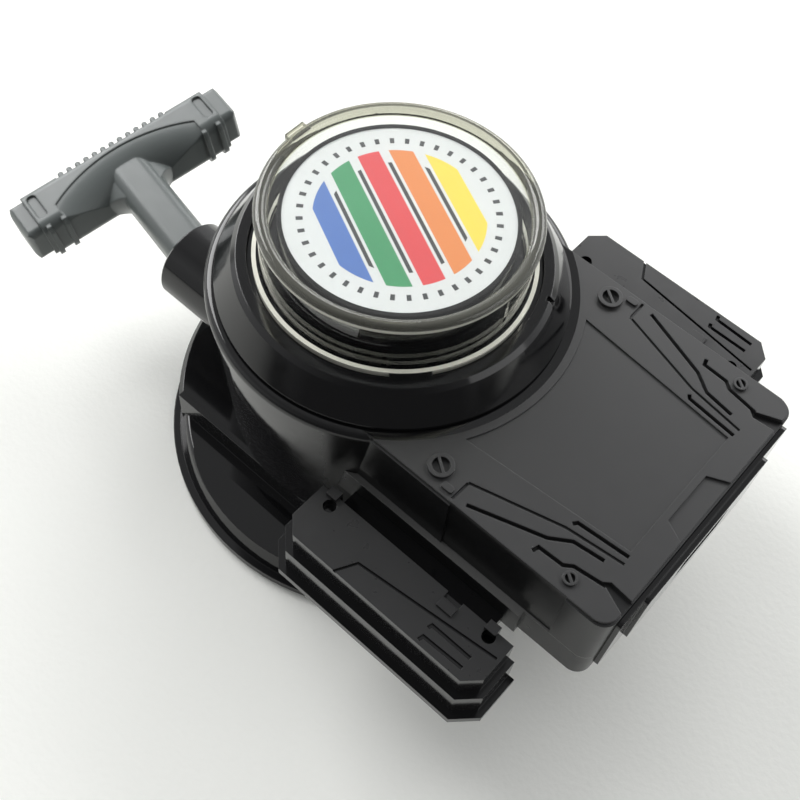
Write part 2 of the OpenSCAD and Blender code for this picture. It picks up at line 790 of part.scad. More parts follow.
module side_pod() {
    web_z = box_foot_z + line_w;
    web_h = shell_wall;
    pod_start = [pod_near_x, pod_inner_y];
    difference() {
        union() {
            translate([0, 0, pod_foot_z])
                linear_extrude(pod_top_z - pod_foot_z)
                    pod_plan();
            translate([0, 0, pod_foot_z])
                linear_extrude(pod_step_z - pod_foot_z)
                    pod_plan(pod_step_w);
            translate([0, 0, pod_foot_z])
                linear_extrude(pod_flange_z - pod_foot_z)
                    pod_plan(2 * pod_step_w);
            // Web that carries the pod on the side of the box floor
            translate([pod_near_x + pod_chamfer, tray_half_w, web_z])
                cube([tray_step_x - pod_near_x - 2 * pod_chamfer, pod_inner_y - tray_half_w + overrun,
                    web_h]);
            for (s = pod_lug_shares)
                pod_lug(s);
            translate([pod_near_x + pod_len * pod_tab_shares[0], pod_inner_y + pod_w * pod_tab_shares[1],
                pod_top_z - overrun])
                cube([1.3 * shell_wall, 0.7 * shell_wall, overrun + line_w]);
        }
        // Hollow underside with two cross ribs
        difference() {
            translate([0, 0, pod_foot_z - overrun])
                linear_extrude(pod_top_z - pod_foot_z - shell_wall + overrun)
                    pod_hollow_plan();
            for (s = pod_rib_shares)
                translate([pod_near_x + pod_len * s, pod_inner_y, pod_foot_z + 2 * shell_wall])
                    cube([line_w * 3, pod_w, pod_top_z]);
        }
        translate([0, 0, pod_top_z - line_depth])
            linear_extrude(line_depth + overrun) {
                line_path(spread(pod_line_shares, pod_len, pod_w, pod_start), line_w);
                for (s = pod_slot_shares)
                    line_path(spread(s, pod_len, pod_w, pod_start), groove_w);
            }
        // Round recess beside each lug, and the gap beside the tab
        for (place = spread(pod_hole_shares, pod_len, pod_w, pod_start))
            translate([place[0], place[1], pod_top_z - shell_wall * 0.7])
                cylinder(r = small_boss_r - 2 * fit_gap, h = shell_wall);
        translate([pod_near_x + pod_len * pod_tab_shares[0], pod_inner_y - overrun,
            pod_top_z - shell_wall * half])
            cube([1.3 * shell_wall, overrun + pod_step_w, shell_wall]);
    }
}

module pod_hollow_plan() {
    inset = shell_wall * 0.8;
    translate([pod_near_x + pod_chamfer, pod_inner_y + inset])
        square([pod_len - 2 * pod_chamfer, pod_w - 2 * inset]);
}

// Block on the inner edge of a pod
module pod_lug(share) {
    translate([pod_near_x + pod_len * share - shell_wall * half, pod_inner_y - shell_wall * 0.3,
        pod_top_z - 2 * shell_wall])
        cube([0.9 * shell_wall, 0.75 * shell_wall, 2.4 * shell_wall]);
}

module rear_side_pod() {
    color(black)
        side_pod();
}

module front_side_pod() {
    color(black)
        mirror([0, 1, 0])
            side_pod();
}

// Places children with +Z along the neck, pointing out of its mouth
module along_neck(x) {
    translate([-x, -cord_y, cord_z])
        rotate([0, -90, 0])
            children();
}

module cord_neck() {
    color(black)
    difference() {
        union() {
            along_neck(neck_inner_x)
                cylinder(r = neck_r, h = neck_mouth_x - neck_inner_x - line_depth);
            along_neck(neck_mouth_x - line_depth)
                cylinder(r1 = neck_r, r2 = neck_r - line_depth, h = line_depth);
        }
        along_neck(neck_seat_x)
            cylinder(r = neck_bore_r, h = neck_mouth_x);
        along_neck(neck_inner_x - overrun)
            cylinder(r = neck_bore_r, h = neck_seat_x - neck_web_t - neck_inner_x + overrun);
        along_neck(neck_inner_x)
            cylinder(r = eyelet_r + fit_gap, h = neck_mouth_x);
        // Parting line of the mould
        along_neck(neck_inner_x)
            rotate(neck_seam_angle)
                translate([neck_r - line_w * half, -line_w * half * half, 0])
                    cube([line_w, line_w * half, neck_mouth_x]);
    }
}

module cord_eyelet() {
    color(steel)
    difference() {
        union() {
            along_neck(neck_seat_x - neck_web_t)
                cylinder(r = eyelet_r, h = neck_web_t - line_w);
            along_neck(neck_seat_x - neck_web_t - line_w - fit_gap)
                cylinder(r = eyelet_r + neck_wall * half, h = line_w);
            along_neck(neck_seat_x - neck_web_t - line_w)
                cylinder(r = eyelet_r, h = line_w + overrun);
        }
        along_neck(neck_inner_x)
            cylinder(r = eyelet_bore_r, h = neck_mouth_x);
    }
}

module mechanism_plate() {
    color(steel)
    translate([0, 0, plate_z])
        linear_extrude(plate_t)
            difference() {
                circle(plate_r);
                circle(spool_key_r + 2 * run_gap);
                translate([counter_x, 0])
                    circle(axle_r + fit_gap);
                at_posts()
                    circle(screw_r + 3 * fit_gap);
                // Lightening holes, and a notch that clears the neck
                for (a = [90, 270])
                    rotate(a)
                        translate([post_ring_r * 0.66, 0])
                            rounded_rect(2 * post_r, 3 * post_r, post_r * 0.6);
                translate([-plate_r - overrun, -cord_y - neck_r])
                    square([plate_r - neck_inner_x + overrun + 2 * run_gap, 2 * neck_r]);
            }
}

module hub_bush() {
    bush_r = shaft_boss_r * 0.66 - fit_gap;
    color(steel)
    difference() {
        union() {
            translate([0, 0, cavity_top_z])
                cylinder(r = bush_r, h = floor_t);
            translate([0, 0, block_h])
                cylinder(r = bush_r + shell_wall * half, h = layer_gap);
        }
        translate([0, 0, cavity_top_z - overrun])
            cylinder(r = shaft_r + run_fit, h = floor_t + layer_gap + 2 * overrun);
    }
}

module counter_axle() {
    foot = cavity_top_z + floor_t * 0.3;
    color(steel)
        translate([counter_x, 0, foot])
            cylinder(r = axle_r, h = plate_z + plate_t - foot);
}

module spring_cover() {
    color(steel)
    translate([0, 0, cover_z])
        difference() {
            cylinder(r = spring_cup_r + spring_cup_wall * half, h = cover_t);
            translate([0, 0, -overrun])
                cylinder(r = arbor_r + 2 * run_gap, h = cover_t + 2 * overrun);
        }
}

// Flat spiral of spring band between two radii
spring_turns = 7;
spring_steps = 24;
spring_t = cord_r * half;
spring_inner_r = arbor_r + 3 * run_gap;
spring_outer_r = spring_cup_r - spring_t * half - fit_gap;
function spiral_point(i, shift) =
    let (count = spring_turns * spring_steps,
        r = spring_inner_r + (spring_outer_r - spring_inner_r) * i / count + shift,
        a = turn * i / spring_steps)
    [r * cos(a), r * sin(a)];

module mainspring() {
    count = spring_turns * spring_steps;
    color(steel)
    translate([0, 0, spring_cup_z + 2 * run_gap])
        linear_extrude(ceiling_z - spring_cup_z - 6 * run_gap)
            polygon(concat([for (i = [0 : count]) spiral_point(i, spring_t * half)],
                [for (i = [count : -1 : 0]) spiral_point(i, -spring_t * half)]));
}

module dial_retainer() {
    color(charcoal)
    translate([0, 0, turret_z])
        linear_extrude(retainer_t)
            difference() {
                circle(retainer_r);
                circle(turret_r * 0.6);
                for (i = [0 : hook_count - 1])
                    rotate(turn * i / hook_count + screw_start_angle)
                        translate([retainer_screw_ring_r, 0])
                            circle(small_screw_r + 3 * fit_gap);
            }
}

// Cross-head screw pointing up, head at the bottom
module screw(r, head_r, head_h, length) {
    difference() {
        union() {
            cylinder(r = head_r, h = head_h);
            cylinder(r = r, h = length);
        }
        for (a = [0, 90])
            rotate(a)
                cube([head_r * 1.2, r * 0.5, head_h], center = true);
    }
}

module retainer_screws() {
    head_h = retainer_t * 0.2;
    color(steel)
    for (i = [0 : hook_count - 1])
        rotate(turn * i / hook_count + screw_start_angle)
            translate([retainer_screw_ring_r, 0, turret_z + retainer_t + head_h])
                mirror([0, 0, 1])
                    screw(small_screw_r, small_screw_r * 1.8, head_h, retainer_t + head_h + shell_wall * 0.8);
}

module housing_screws() {
    color(steel)
    at_posts()
        translate([0, 0, cavity_top_z])
            screw(screw_r, screw_head_r, screw_head_h, plate_z + plate_t + screw_bite * 0.8 - cavity_top_z);
}

module box_screws() {
    color(steel)
    both_sides()
        translate([box_post_x, box_post_y, box_foot_z])
            screw(screw_r, screw_head_r, screw_head_h, box_split_z + screw_bite * 0.8 - box_foot_z);
}

// Round length of cord between two points
module cord_run(from, to) {
    way = to - from;
    flat = norm([way[0], way[1]]);
    translate(from)
        rotate([0, atan2(flat, way[2]), atan2(way[1], way[0])])
            cylinder(r = cord_r, h = norm(way));
}

// Cord from the winding, through the eyelet, to the stem of the handle
lead_clear_y = cord_y - cord_r;
lead_start_x = sqrt(winding_r * winding_r - lead_clear_y * lead_clear_y) + run_gap;
lead_end = [-(stem_tip_x - (stem_tip_r + run_gap) * cos(stem_yaw)),
    stem_shift_y - cord_y - (stem_tip_r + run_gap) * sin(stem_yaw), cord_z];

module cord_lead() {
    color(cream)
        cord_run([-lead_start_x, -cord_y, cord_z], lead_end);
}

module selector_dial() {
    color(black)
    difference() {
        union() {
            rotate_extrude()
                polygon([[dial_bore_r, dial_z], [dial_r, dial_z], [dial_r, dial_z + line_depth],
                    [dial_top_r + line_depth, dial_top_z - 2 * line_depth],
                    [dial_top_r, dial_top_z - line_depth],
                    [dial_top_r - line_depth, dial_top_z],
                    [holder_flange_r + fit_gap, dial_top_z], [holder_flange_r + fit_gap, holder_seat_z],
                    [retainer_r + run_gap, holder_seat_z], [retainer_r + run_gap, dial_flange_z],
                    [dial_bore_r, dial_flange_z]]);
            // Peg that runs in the deck's slot
            rotate(peg_angle)
                translate([peg_ring_r, 0, ceiling_z - run_gap])
                    cylinder(r = peg_r, h = dial_z - ceiling_z + run_gap + overrun);
            dial_key(0);
        }
        // Index notch in the dial's top edge
        rotate(index_angle)
            translate([dial_top_r, 0, dial_top_z])
                cube([4 * line_w, 2 * line_w, 4 * line_depth], center = true);
    }
}

// Key that fits the gap in the cap's flange
module dial_key(grow) {
    rotate(key_angle)
        translate([cap_wall_r + line_w, -key_w * half - grow, cap_seat_z + fit_gap])
            cube([holder_flange_r - cap_wall_r + line_w, key_w + 2 * grow,
                dial_top_z - cap_seat_z - fit_gap]);
}

module disc_holder() {
    color(black)
    difference() {
        union() {
            translate([0, 0, holder_seat_z])
                cylinder(r = holder_flange_r, h = holder_flange_t);
            translate([0, 0, holder_seat_z])
                cylinder(r = pedestal_r, h = pedestal_top_z - holder_seat_z);
        }
        translate([0, 0, disc_z])
            cylinder(r = disc_r + fit_gap, h = cap_h);
        translate([0, 0, holder_seat_z - overrun])
            cylinder(r = pedestal_r - shell_wall, h = disc_z - holder_seat_z - shell_wall * half + overrun);
    }
}

module printed_disc() {
    color(white)
        translate([0, 0, disc_z])
            cylinder(r = disc_r, h = disc_t);
}

module clear_cap() {
    color(clear)
    difference() {
        union() {
            translate([0, 0, cap_seat_z])
                cylinder(r = cap_flange_r, h = bead_r);
            translate([0, 0, cap_seat_z])
                cylinder(r = cap_wall_r, h = cap_plate_z + cap_plate_t - cap_seat_z);
            translate([0, 0, cap_top_z - bead_r])
                rotate_extrude()
                    translate([cap_r - bead_r, 0])
                        circle(bead_r);
            // Lift tab on the rim
            rotate(180)
                translate([cap_r - 1.7 * bead_r, -1.8 * bead_r, cap_top_z - 1.35 * bead_r])
                    cube([1.85 * bead_r, 3.6 * bead_r, 1.42 * bead_r]);
        }
        translate([0, 0, cap_seat_z - overrun])
            cylinder(r = cap_inner_r, h = cap_plate_z - cap_seat_z + overrun);
        translate([0, 0, -overrun])
            dial_key(fit_gap);
        dial_key(fit_gap);
        translate([0, 0, overrun])
            dial_key(fit_gap);
    }
}

module cord_spool() {
    color(cream)
    difference() {
        union() {
            translate([0, 0, spool_gear_z])
                cylinder(r = spool_key_r, h = spool_z - spool_gear_z + overrun, $fn = hex_sides);
            translate([0, 0, spool_z])
                cylinder(r = spool_flange_r, h = spool_flange_t);
            translate([0, 0, spool_z])
                cylinder(r = spool_core_r, h = spool_top_z - spool_z);
            translate([0, 0, spool_top_z - spool_flange_t])
                cylinder(r = spool_flange_r, h = spool_flange_t);
            translate([0, 0, spool_top_z - overrun])
                cylinder(r = arbor_r, h = bearing_foot_z - run_gap - spool_top_z + overrun);
        }
        translate([0, 0, spool_gear_z - overrun])
            cylinder(r = shaft_r + run_fit, h = deck_z);
        // Slot for the inner end of the spring
        translate([0, -spring_t, spring_cup_z])
            cube([arbor_r + overrun, 2 * spring_t, deck_z]);
    }
}

module spool_gear() {
    color(cream)
    translate([0, 0, spool_gear_z])
        difference() {
            gear_blank(spool_teeth, gear_w);
            translate([0, 0, -overrun])
                cylinder(r = spool_key_r + fit_gap, h = gear_w + 2 * overrun, $fn = hex_sides);
        }
}

module cord_winding() {
    color(cream)
    translate([0, 0, spool_z + spool_flange_t + fit_gap])
        difference() {
            cylinder(r = winding_r, h = winding_w - 2 * fit_gap);
            translate([0, 0, -overrun])
                cylinder(r = spool_core_r + fit_gap, h = winding_w + 2 * overrun);
        }
}

module counter_gear() {
    color(cream)
    translate([counter_x, 0, counter_gear_z])
        difference() {
            union() {
                gear_blank(counter_teeth, gear_w, 180 / counter_teeth);
                translate([0, 0, gear_w - fit_gap])
                    gear_blank(pinion_teeth, plate_z - run_gap - counter_gear_z - gear_w + fit_gap,
                        180 / pinion_teeth);
            }
            translate([0, 0, -overrun])
                cylinder(r = axle_r + run_fit, h = deck_z);
        }
}

module drive_shaft() {
    color(steel)
        translate([0, 0, shaft_foot_z])
            cylinder(r = shaft_r, h = shaft_top_z - shaft_foot_z);
}

module hub_pinion() {
    color(cream)
    translate([0, 0, hub_pinion_z])
        difference() {
            gear_blank(hub_teeth, spool_gear_z - run_gap - hub_pinion_z);
            translate([0, 0, -overrun])
                cylinder(r = shaft_r + fit_gap, h = gear_w * 3);
        }
}

module top_holder() {
    hook_tip_r = hook_inner_r + 2 * hook_wall;
    color(charcoal)
    difference() {
        union() {
            translate([0, 0, holder_disc_z])
                cylinder(r = holder_r, h = holder_t);
            translate([0, 0, holder_foot_z])
                cylinder(r = socket_r + hook_wall, h = holder_disc_z - holder_foot_z + overrun);
            for (i = [0 : hook_count - 1])
                rotate(turn * i / hook_count) {
                    translate([0, 0, holder_foot_z])
                        rotate_extrude(angle = hook_wall_sweep)
                            translate([hook_inner_r, 0])
                                square([hook_wall, holder_disc_z - holder_foot_z + overrun]);
                    translate([0, 0, holder_foot_z])
                        rotate_extrude(angle = hook_tip_sweep)
                            translate([hook_inner_r, 0])
                                square([hook_tip_r - hook_inner_r, flange_h]);
                }
        }
        translate([0, 0, holder_foot_z - overrun])
            cylinder(r = socket_r, h = socket_depth + overrun);
        translate([0, 0, shaft_foot_z])
            cylinder(r = shaft_r + fit_gap, h = holder_top_z);
    }
}

// Places the handle: its stem's tip sits in the neck's mouth
module at_handle() {
    translate([-stem_tip_x, stem_shift_y - cord_y, cord_z])
        rotate([bar_roll, 0, -stem_yaw])
            children();
}

// Handle values measured from the stem's tip outward
bar_back_x = stem_len + bar_d * half;
saddle_r = bar_len * 0.658;
saddle_x = stem_len + bar_d * 0.27 - saddle_r;
saddle_bulge_r = bar_h * 0.8;
saddle_drop = bar_h * half - saddle_bulge_r - line_depth * half;
pad_start_y = bar_len * 0.33;
cap_start_y = bar_len * 0.41;
cap_step = line_w * 1.6;
fin_t = line_w * 2;
fin_rise = line_w * 1.3;
fin_top_z = bar_h * 0.46;
fin_shares = [0.67, 0.805];
rib_span = bar_len * 0.48;
rib_r = line_w * 1.15;
rib_cut = bar_d * 0.125;
rib_top_z = bar_h * 0.48;
flare_r = bar_d * 0.52;
flare_foot_r = stem_w * 0.46;
flare_top_z = stem_h * 0.47;
flare_crown_r = bar_d * 1.04;
knot_floor_x = bar_back_x - cover_plug_t - 3 * knot_r;

module handle_grip() {
    color(grey)
    at_handle()
        difference() {
            union() {
                handle_stem();
                handle_bar();
            }
            rotate([0, -90, 0])
                translate([0, 0, -stem_tip_r - overrun])
                    cylinder(r = cord_bore_r, h = bar_back_x + stem_tip_r + 2 * overrun);
            translate([-knot_floor_x, 0, 0])
                rotate([0, -90, 0])
                    cylinder(r = knot_r + run_gap, h = bar_back_x);
            // Sunk slot on the top of each end pad
            for (side = [-1, 1])
                translate([-stem_len - bar_d * 0.04, side * bar_len * 0.395, bar_h * half - line_depth])
                    linear_extrude(2 * line_depth)
                        rounded_rect(bar_d * 0.58, bar_len * 0.04, bar_len * 0.016);
        }
}

// Bar with a flat top strip, a bulged finger saddle, end pads with fins, and end caps
module handle_bar() {
    difference() {
        bar_form(bar_len * 0.7, 0);
        bar_saddle();
        rib_band();
    }
    grip_ribs();
    for (side = [-1, 1]) {
        bar_stretch(side, pad_start_y, cap_start_y + fin_t, 0);
        bar_cap(side);
        for (s = fin_shares)
            bar_fin(side * bar_len * half * s);
    }
}

// Cap on one end of the bar, rounded as seen from above and from the front
module bar_cap(side) {
    cap_d = bar_d - 2 * cap_step;
    cap_height = bar_h - 2 * cap_step;
    intersection() {
        bar_stretch(side, cap_start_y, bar_len * half + overrun, -cap_step);
        translate([-stem_len, 0, 0])
            linear_extrude(2 * bar_h, center = true)
                rounded_rect(cap_d + 2 * line_w, bar_len, bar_round + line_w);
        translate([-stem_len, 0, 0])
            rotate([90, 0, 90])
                linear_extrude(2 * bar_d, center = true)
                    rounded_rect(bar_len, cap_height + 2 * line_w, bar_round + line_w * half);
    }
}

// Bar of rounded section along the Y axis, grown by the given amount
module bar_form(length, grow) {
    translate([-stem_len, 0, 0])
        rotate([90, 0, 0])
            linear_extrude(length, center = true)
                rounded_rect(bar_d + 2 * grow, bar_h + 2 * grow, bar_round + grow);
}

// Part of the bar between two distances from its middle, on one side
module bar_stretch(side, from, to, grow) {
    translate([0, side * (from + to) * half, 0])
        bar_form(to - from, grow);
}

// Room cut away for fingers: a bulged face is left below the arc of the top strip
module bar_saddle() {
    translate([-saddle_x, 0, 0])
        difference() {
            cylinder(r = saddle_r, h = 2 * bar_h, center = true);
            translate([0, 0, saddle_drop])
                rotate_extrude()
                    translate([saddle_r, 0])
                        circle(saddle_bulge_r);
            translate([0, 0, saddle_drop - bar_h])
                difference() {
                    cylinder(r = saddle_r + overrun, h = bar_h);
                    translate([0, 0, -overrun])
                        cylinder(r = saddle_r - saddle_bulge_r * 0.94, h = bar_h + 2 * overrun);
                }
        }
}

// Fin round the inner and lower sides of the bar
module bar_fin(y) {
    intersection() {
        translate([0, y, 0])
            bar_form(fin_t, fin_rise);
        translate([-stem_len - bar_d * 0.2, y - bar_h, fin_top_z - 2 * bar_h])
            cube([bar_d, 2 * bar_h, 2 * bar_h]);
    }
}

// Step along the outer top edge that the grip ribs stand in
module rib_band() {
    translate([-bar_back_x - overrun, -rib_span * half - 2 * rib_r, 0])
        cube([rib_cut + overrun, rib_span + 4 * rib_r, bar_h]);
}

module grip_ribs() {
    for (i = [0 : rib_count - 1])
        translate([-bar_back_x + rib_cut - rib_r * 0.8, (i / (rib_count - 1) - half) * rib_span, -line_depth])
            cylinder(r = rib_r, h = rib_top_z + line_depth);
}

// Stem of rounded section from its domed tip to the bar, with a trumpet-shaped root
module handle_stem() {
    rotate([0, -90, 0])
        linear_extrude(stem_len)
            rounded_rect(stem_h, stem_w, stem_h * 0.34);
    sphere(stem_tip_r);
    flare_x = stem_len - bar_d * half - flare_r * 0.9;
    intersection() {
        rotate([0, -90, 0])
            difference() {
                translate([0, 0, flare_x])
                    cylinder(r = flare_foot_r + flare_r * 0.96, h = stem_len - flare_x);
                translate([0, 0, flare_x])
                    rotate_extrude()
                        translate([flare_foot_r + flare_r, 0])
                            circle(flare_r);
            }
        // Crowned top that falls away to both sides of the stem
        translate([stem_len * half, 0, flare_top_z - flare_crown_r])
            rotate([0, -90, 0])
                cylinder(r = flare_crown_r, h = 2 * stem_len);
        translate([-stem_len * half, 0, bar_h - flare_top_z])
            cube([2 * stem_len, bar_len, 2 * bar_h], center = true);
    }
}

// Cord inside the handle, with its knot in the pocket behind the bar
module cord_end() {
    color(cream)
    at_handle()
        rotate([0, -90, 0]) {
            translate([0, 0, -stem_tip_r])
                cylinder(r = cord_r, h = knot_floor_x + stem_tip_r + knot_r);
            translate([0, 0, knot_floor_x + knot_r + fit_gap])
                sphere(knot_r);
        }
}

// Plug that closes the knot pocket
module knot_cover() {
    color(grey)
    at_handle()
        translate([-(bar_back_x - cover_plug_t), 0, 0])
            rotate([0, -90, 0])
                cylinder(r = knot_r + run_gap - fit_gap, h = cover_plug_t);
}

base_skirt();
upper_housing();
box_floor();
end_plate();
front_side_pod();
rear_side_pod();
cord_neck();
cord_eyelet();
mechanism_plate();
hub_bush();
counter_axle();
spring_cover();
mainspring();
dial_retainer();
retainer_screws();
housing_screws();
box_screws();
cord_lead();
selector_dial();
disc_holder();
printed_disc();
clear_cap();
cord_spool();
spool_gear();
cord_winding();
counter_gear();
drive_shaft();
hub_pinion();
top_holder();
handle_grip();
cord_end();
knot_cover();
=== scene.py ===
# Pull-cord launcher for spinning tops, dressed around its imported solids.
# Lengths are in metres, +Z is up, and the origin is on the hub axis at the foot.
import math
import bpy
from mathutils import Matrix, Vector


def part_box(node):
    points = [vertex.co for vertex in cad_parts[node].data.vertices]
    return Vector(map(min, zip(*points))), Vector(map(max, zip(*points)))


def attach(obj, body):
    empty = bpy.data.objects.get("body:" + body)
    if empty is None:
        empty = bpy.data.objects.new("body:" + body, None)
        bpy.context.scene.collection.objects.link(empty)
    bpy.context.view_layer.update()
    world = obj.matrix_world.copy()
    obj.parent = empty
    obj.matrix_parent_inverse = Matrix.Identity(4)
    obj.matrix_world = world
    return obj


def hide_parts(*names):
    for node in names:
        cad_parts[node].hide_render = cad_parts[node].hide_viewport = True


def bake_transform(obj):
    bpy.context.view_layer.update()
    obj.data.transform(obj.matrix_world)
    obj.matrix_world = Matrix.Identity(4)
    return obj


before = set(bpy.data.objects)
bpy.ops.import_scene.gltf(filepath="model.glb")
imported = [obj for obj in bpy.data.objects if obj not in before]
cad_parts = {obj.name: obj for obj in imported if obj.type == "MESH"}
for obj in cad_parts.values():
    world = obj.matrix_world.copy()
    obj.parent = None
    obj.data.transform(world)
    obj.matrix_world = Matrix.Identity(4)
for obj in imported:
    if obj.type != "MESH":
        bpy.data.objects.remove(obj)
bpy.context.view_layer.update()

# Camera
# A hand-held product view from above the box, with the frame rolled a little
# and a normal lens, so that the whole launcher fills the square picture.
camera_place = Vector((0.0685, -0.0915, 0.1962))
forward = Vector((-0.2974, 0.4246, -0.8551)).normalized()
roll = math.radians(7.615)
sensor_width, lens_length = 36.0, 52.9
nearest, farthest = 0.01, 20.0
camera_data = bpy.data.cameras.new("photo_camera")
camera_data.sensor_width = sensor_width
camera_data.lens = lens_length
camera_data.clip_start = nearest
camera_data.clip_end = farthest
camera = bpy.data.objects.new("photo_camera", camera_data)
bpy.context.scene.collection.objects.link(camera)
level_right = forward.cross(Vector((0.0, 0.0, 1.0))).normalized()
level_up = level_right.cross(forward)
right = level_right * math.cos(roll) + level_up * math.sin(roll)
up = level_up * math.cos(roll) - level_right * math.sin(roll)
turn = Matrix((right, up, -forward)).transposed()
camera.matrix_world = Matrix.Translation(camera_place) @ turn.to_4x4()
bpy.context.scene.camera = camera


# Pull cord
# Braided polyester cord from the spool, out through the eyelet and up the
# handle's stem, where two tight wraps round its own end make the knot.
MM = 0.001


def add_node(tree, kind, **settings):
    node = tree.nodes.new(kind)
    for key, value in settings.items():
        setattr(node, key, value)
    return node


def new_finish(name):
    """An empty finish: its node tree and its shader, joined to the output."""
    finish = bpy.data.materials.new(name)
    finish.use_nodes = True
    tree = finish.node_tree
    tree.nodes.clear()
    shader = add_node(tree, "ShaderNodeBsdfPrincipled")
    output = add_node(tree, "ShaderNodeOutputMaterial")
    tree.links.new(shader.outputs["BSDF"], output.inputs["Surface"])
    return finish, tree, shader


def spread_value(tree, source, low, high, start=0.0, stop=1.0):
    """The source value, stretched from start..stop to low..high."""
    node = add_node(tree, "ShaderNodeMapRange", clamp=True)
    node.inputs["From Min"].default_value = start
    node.inputs["From Max"].default_value = stop
    node.inputs["To Min"].default_value = low
    node.inputs["To Max"].default_value = high
    tree.links.new(source, node.inputs["Value"])
    return node.outputs["Result"]


def mix_colour(tree, factor, first, second):
    """A colour between two, each a plain colour or another node's output."""
    node = add_node(tree, "ShaderNodeMix", data_type="RGBA")
    for socket, value in ((node.inputs[6], first), (node.inputs[7], second)):
        if isinstance(value, tuple):
            socket.default_value = (*value, 1.0)
        else:
            tree.links.new(value, socket)
    tree.links.new(factor, node.inputs[0])
    return node.outputs[2]


def calculate(tree, operation, first, second=None):
    node = add_node(tree, "ShaderNodeMath", operation=operation)
    for socket, value in zip(node.inputs, (first, second)):
        if isinstance(value, (int, float)):
            socket.default_value = value
        elif value is not None:
            tree.links.new(value, socket)
    return node.outputs[0]


def braided_cord(name, pale, painted_groove_shade, strands=8.0, strand_pitch=1.1 * MM):
    """Cord finish: crossing strands drawn on the cord's own length and girth, with painted shade in the
    grooves between them.
    """
    groove_gloss, strand_gloss = 0.85, 0.62
    groove_end, strand_top = 0.15, 0.5
    relief, relief_strength = 0.08 * MM, 0.6
    finish, tree, shader = new_finish(name)
    girth_map = add_node(tree, "ShaderNodeUVMap", uv_map="girth_length")
    parts = add_node(tree, "ShaderNodeSeparateXYZ")
    tree.links.new(girth_map.outputs["UV"], parts.inputs[0])
    around = calculate(tree, "MULTIPLY", parts.outputs["X"], strands)
    along = calculate(tree, "DIVIDE", parts.outputs["Y"], strand_pitch)
    waves = []
    for operation in ("ADD", "SUBTRACT"):
        lean = calculate(tree, operation, around, along)
        waves.append(calculate(tree, "PINGPONG", lean, strand_top))
    weave = calculate(tree, "MAXIMUM", *waves)
    height = spread_value(tree, weave, 0.0, 1.0, groove_end, strand_top)
    # The grooves between strands take the darker colour: painted shade, not a second yarn.
    tree.links.new(mix_colour(tree, height, painted_groove_shade, pale), shader.inputs["Base Color"])
    tree.links.new(spread_value(tree, height, groove_gloss, strand_gloss), shader.inputs["Roughness"])
    bump = add_node(tree, "ShaderNodeBump")
    bump.inputs["Strength"].default_value = relief_strength
    bump.inputs["Distance"].default_value = relief
    tree.links.new(height, bump.inputs["Height"])
    tree.links.new(bump.outputs["Normal"], shader.inputs["Normal"])
    return finish


def cord_tree():
    """Geometry Nodes tree that lays a round cord along a path and notes its length and girth."""
    tree = bpy.data.node_groups.new("cord_along_path", "GeometryNodeTree")
    sockets = {"Path": "NodeSocketGeometry", "Cord Radius": "NodeSocketFloat",
               "Sides": "NodeSocketInt", "Finish": "NodeSocketMaterial"}
    for label, kind in sockets.items():
        tree.interface.new_socket(label, in_out="INPUT", socket_type=kind)
    tree.interface.new_socket("Cord", in_out="OUTPUT", socket_type="NodeSocketGeometry")
    given = add_node(tree, "NodeGroupInput")
    result = add_node(tree, "NodeGroupOutput")
    ring = add_node(tree, "GeometryNodeCurvePrimitiveCircle", mode="RADIUS")
    tree.links.new(given.outputs["Sides"], ring.inputs["Resolution"])
    tree.links.new(given.outputs["Cord Radius"], ring.inputs["Radius"])
    along = add_node(tree, "GeometryNodeSplineParameter")
    noted = []
    for label, shape, value in (("cord_length", given.outputs["Path"], along.outputs["Length"]),
                                ("cord_girth", ring.outputs["Curve"], along.outputs["Factor"])):
        note = add_node(tree, "GeometryNodeStoreNamedAttribute", data_type="FLOAT", domain="POINT")
        note.inputs["Name"].default_value = label
        tree.links.new(shape, note.inputs["Geometry"])
        tree.links.new(value, note.inputs["Value"])
        noted.append(note.outputs["Geometry"])
    sweep = add_node(tree, "GeometryNodeCurveToMesh")
    sweep.inputs["Fill Caps"].default_value = True
    tree.links.new(noted[0], sweep.inputs["Curve"])
    tree.links.new(noted[1], sweep.inputs["Profile Curve"])
    plain = add_node(tree, "GeometryNodeRealizeInstances")
    tree.links.new(sweep.outputs["Mesh"], plain.inputs["Geometry"])
    coat = add_node(tree, "GeometryNodeSetMaterial")
    tree.links.new(plain.outputs["Geometry"], coat.inputs["Geometry"])
    tree.links.new(given.outputs["Finish"], coat.inputs["Material"])
    tree.links.new(coat.outputs["Geometry"], result.inputs["Cord"])
    return tree


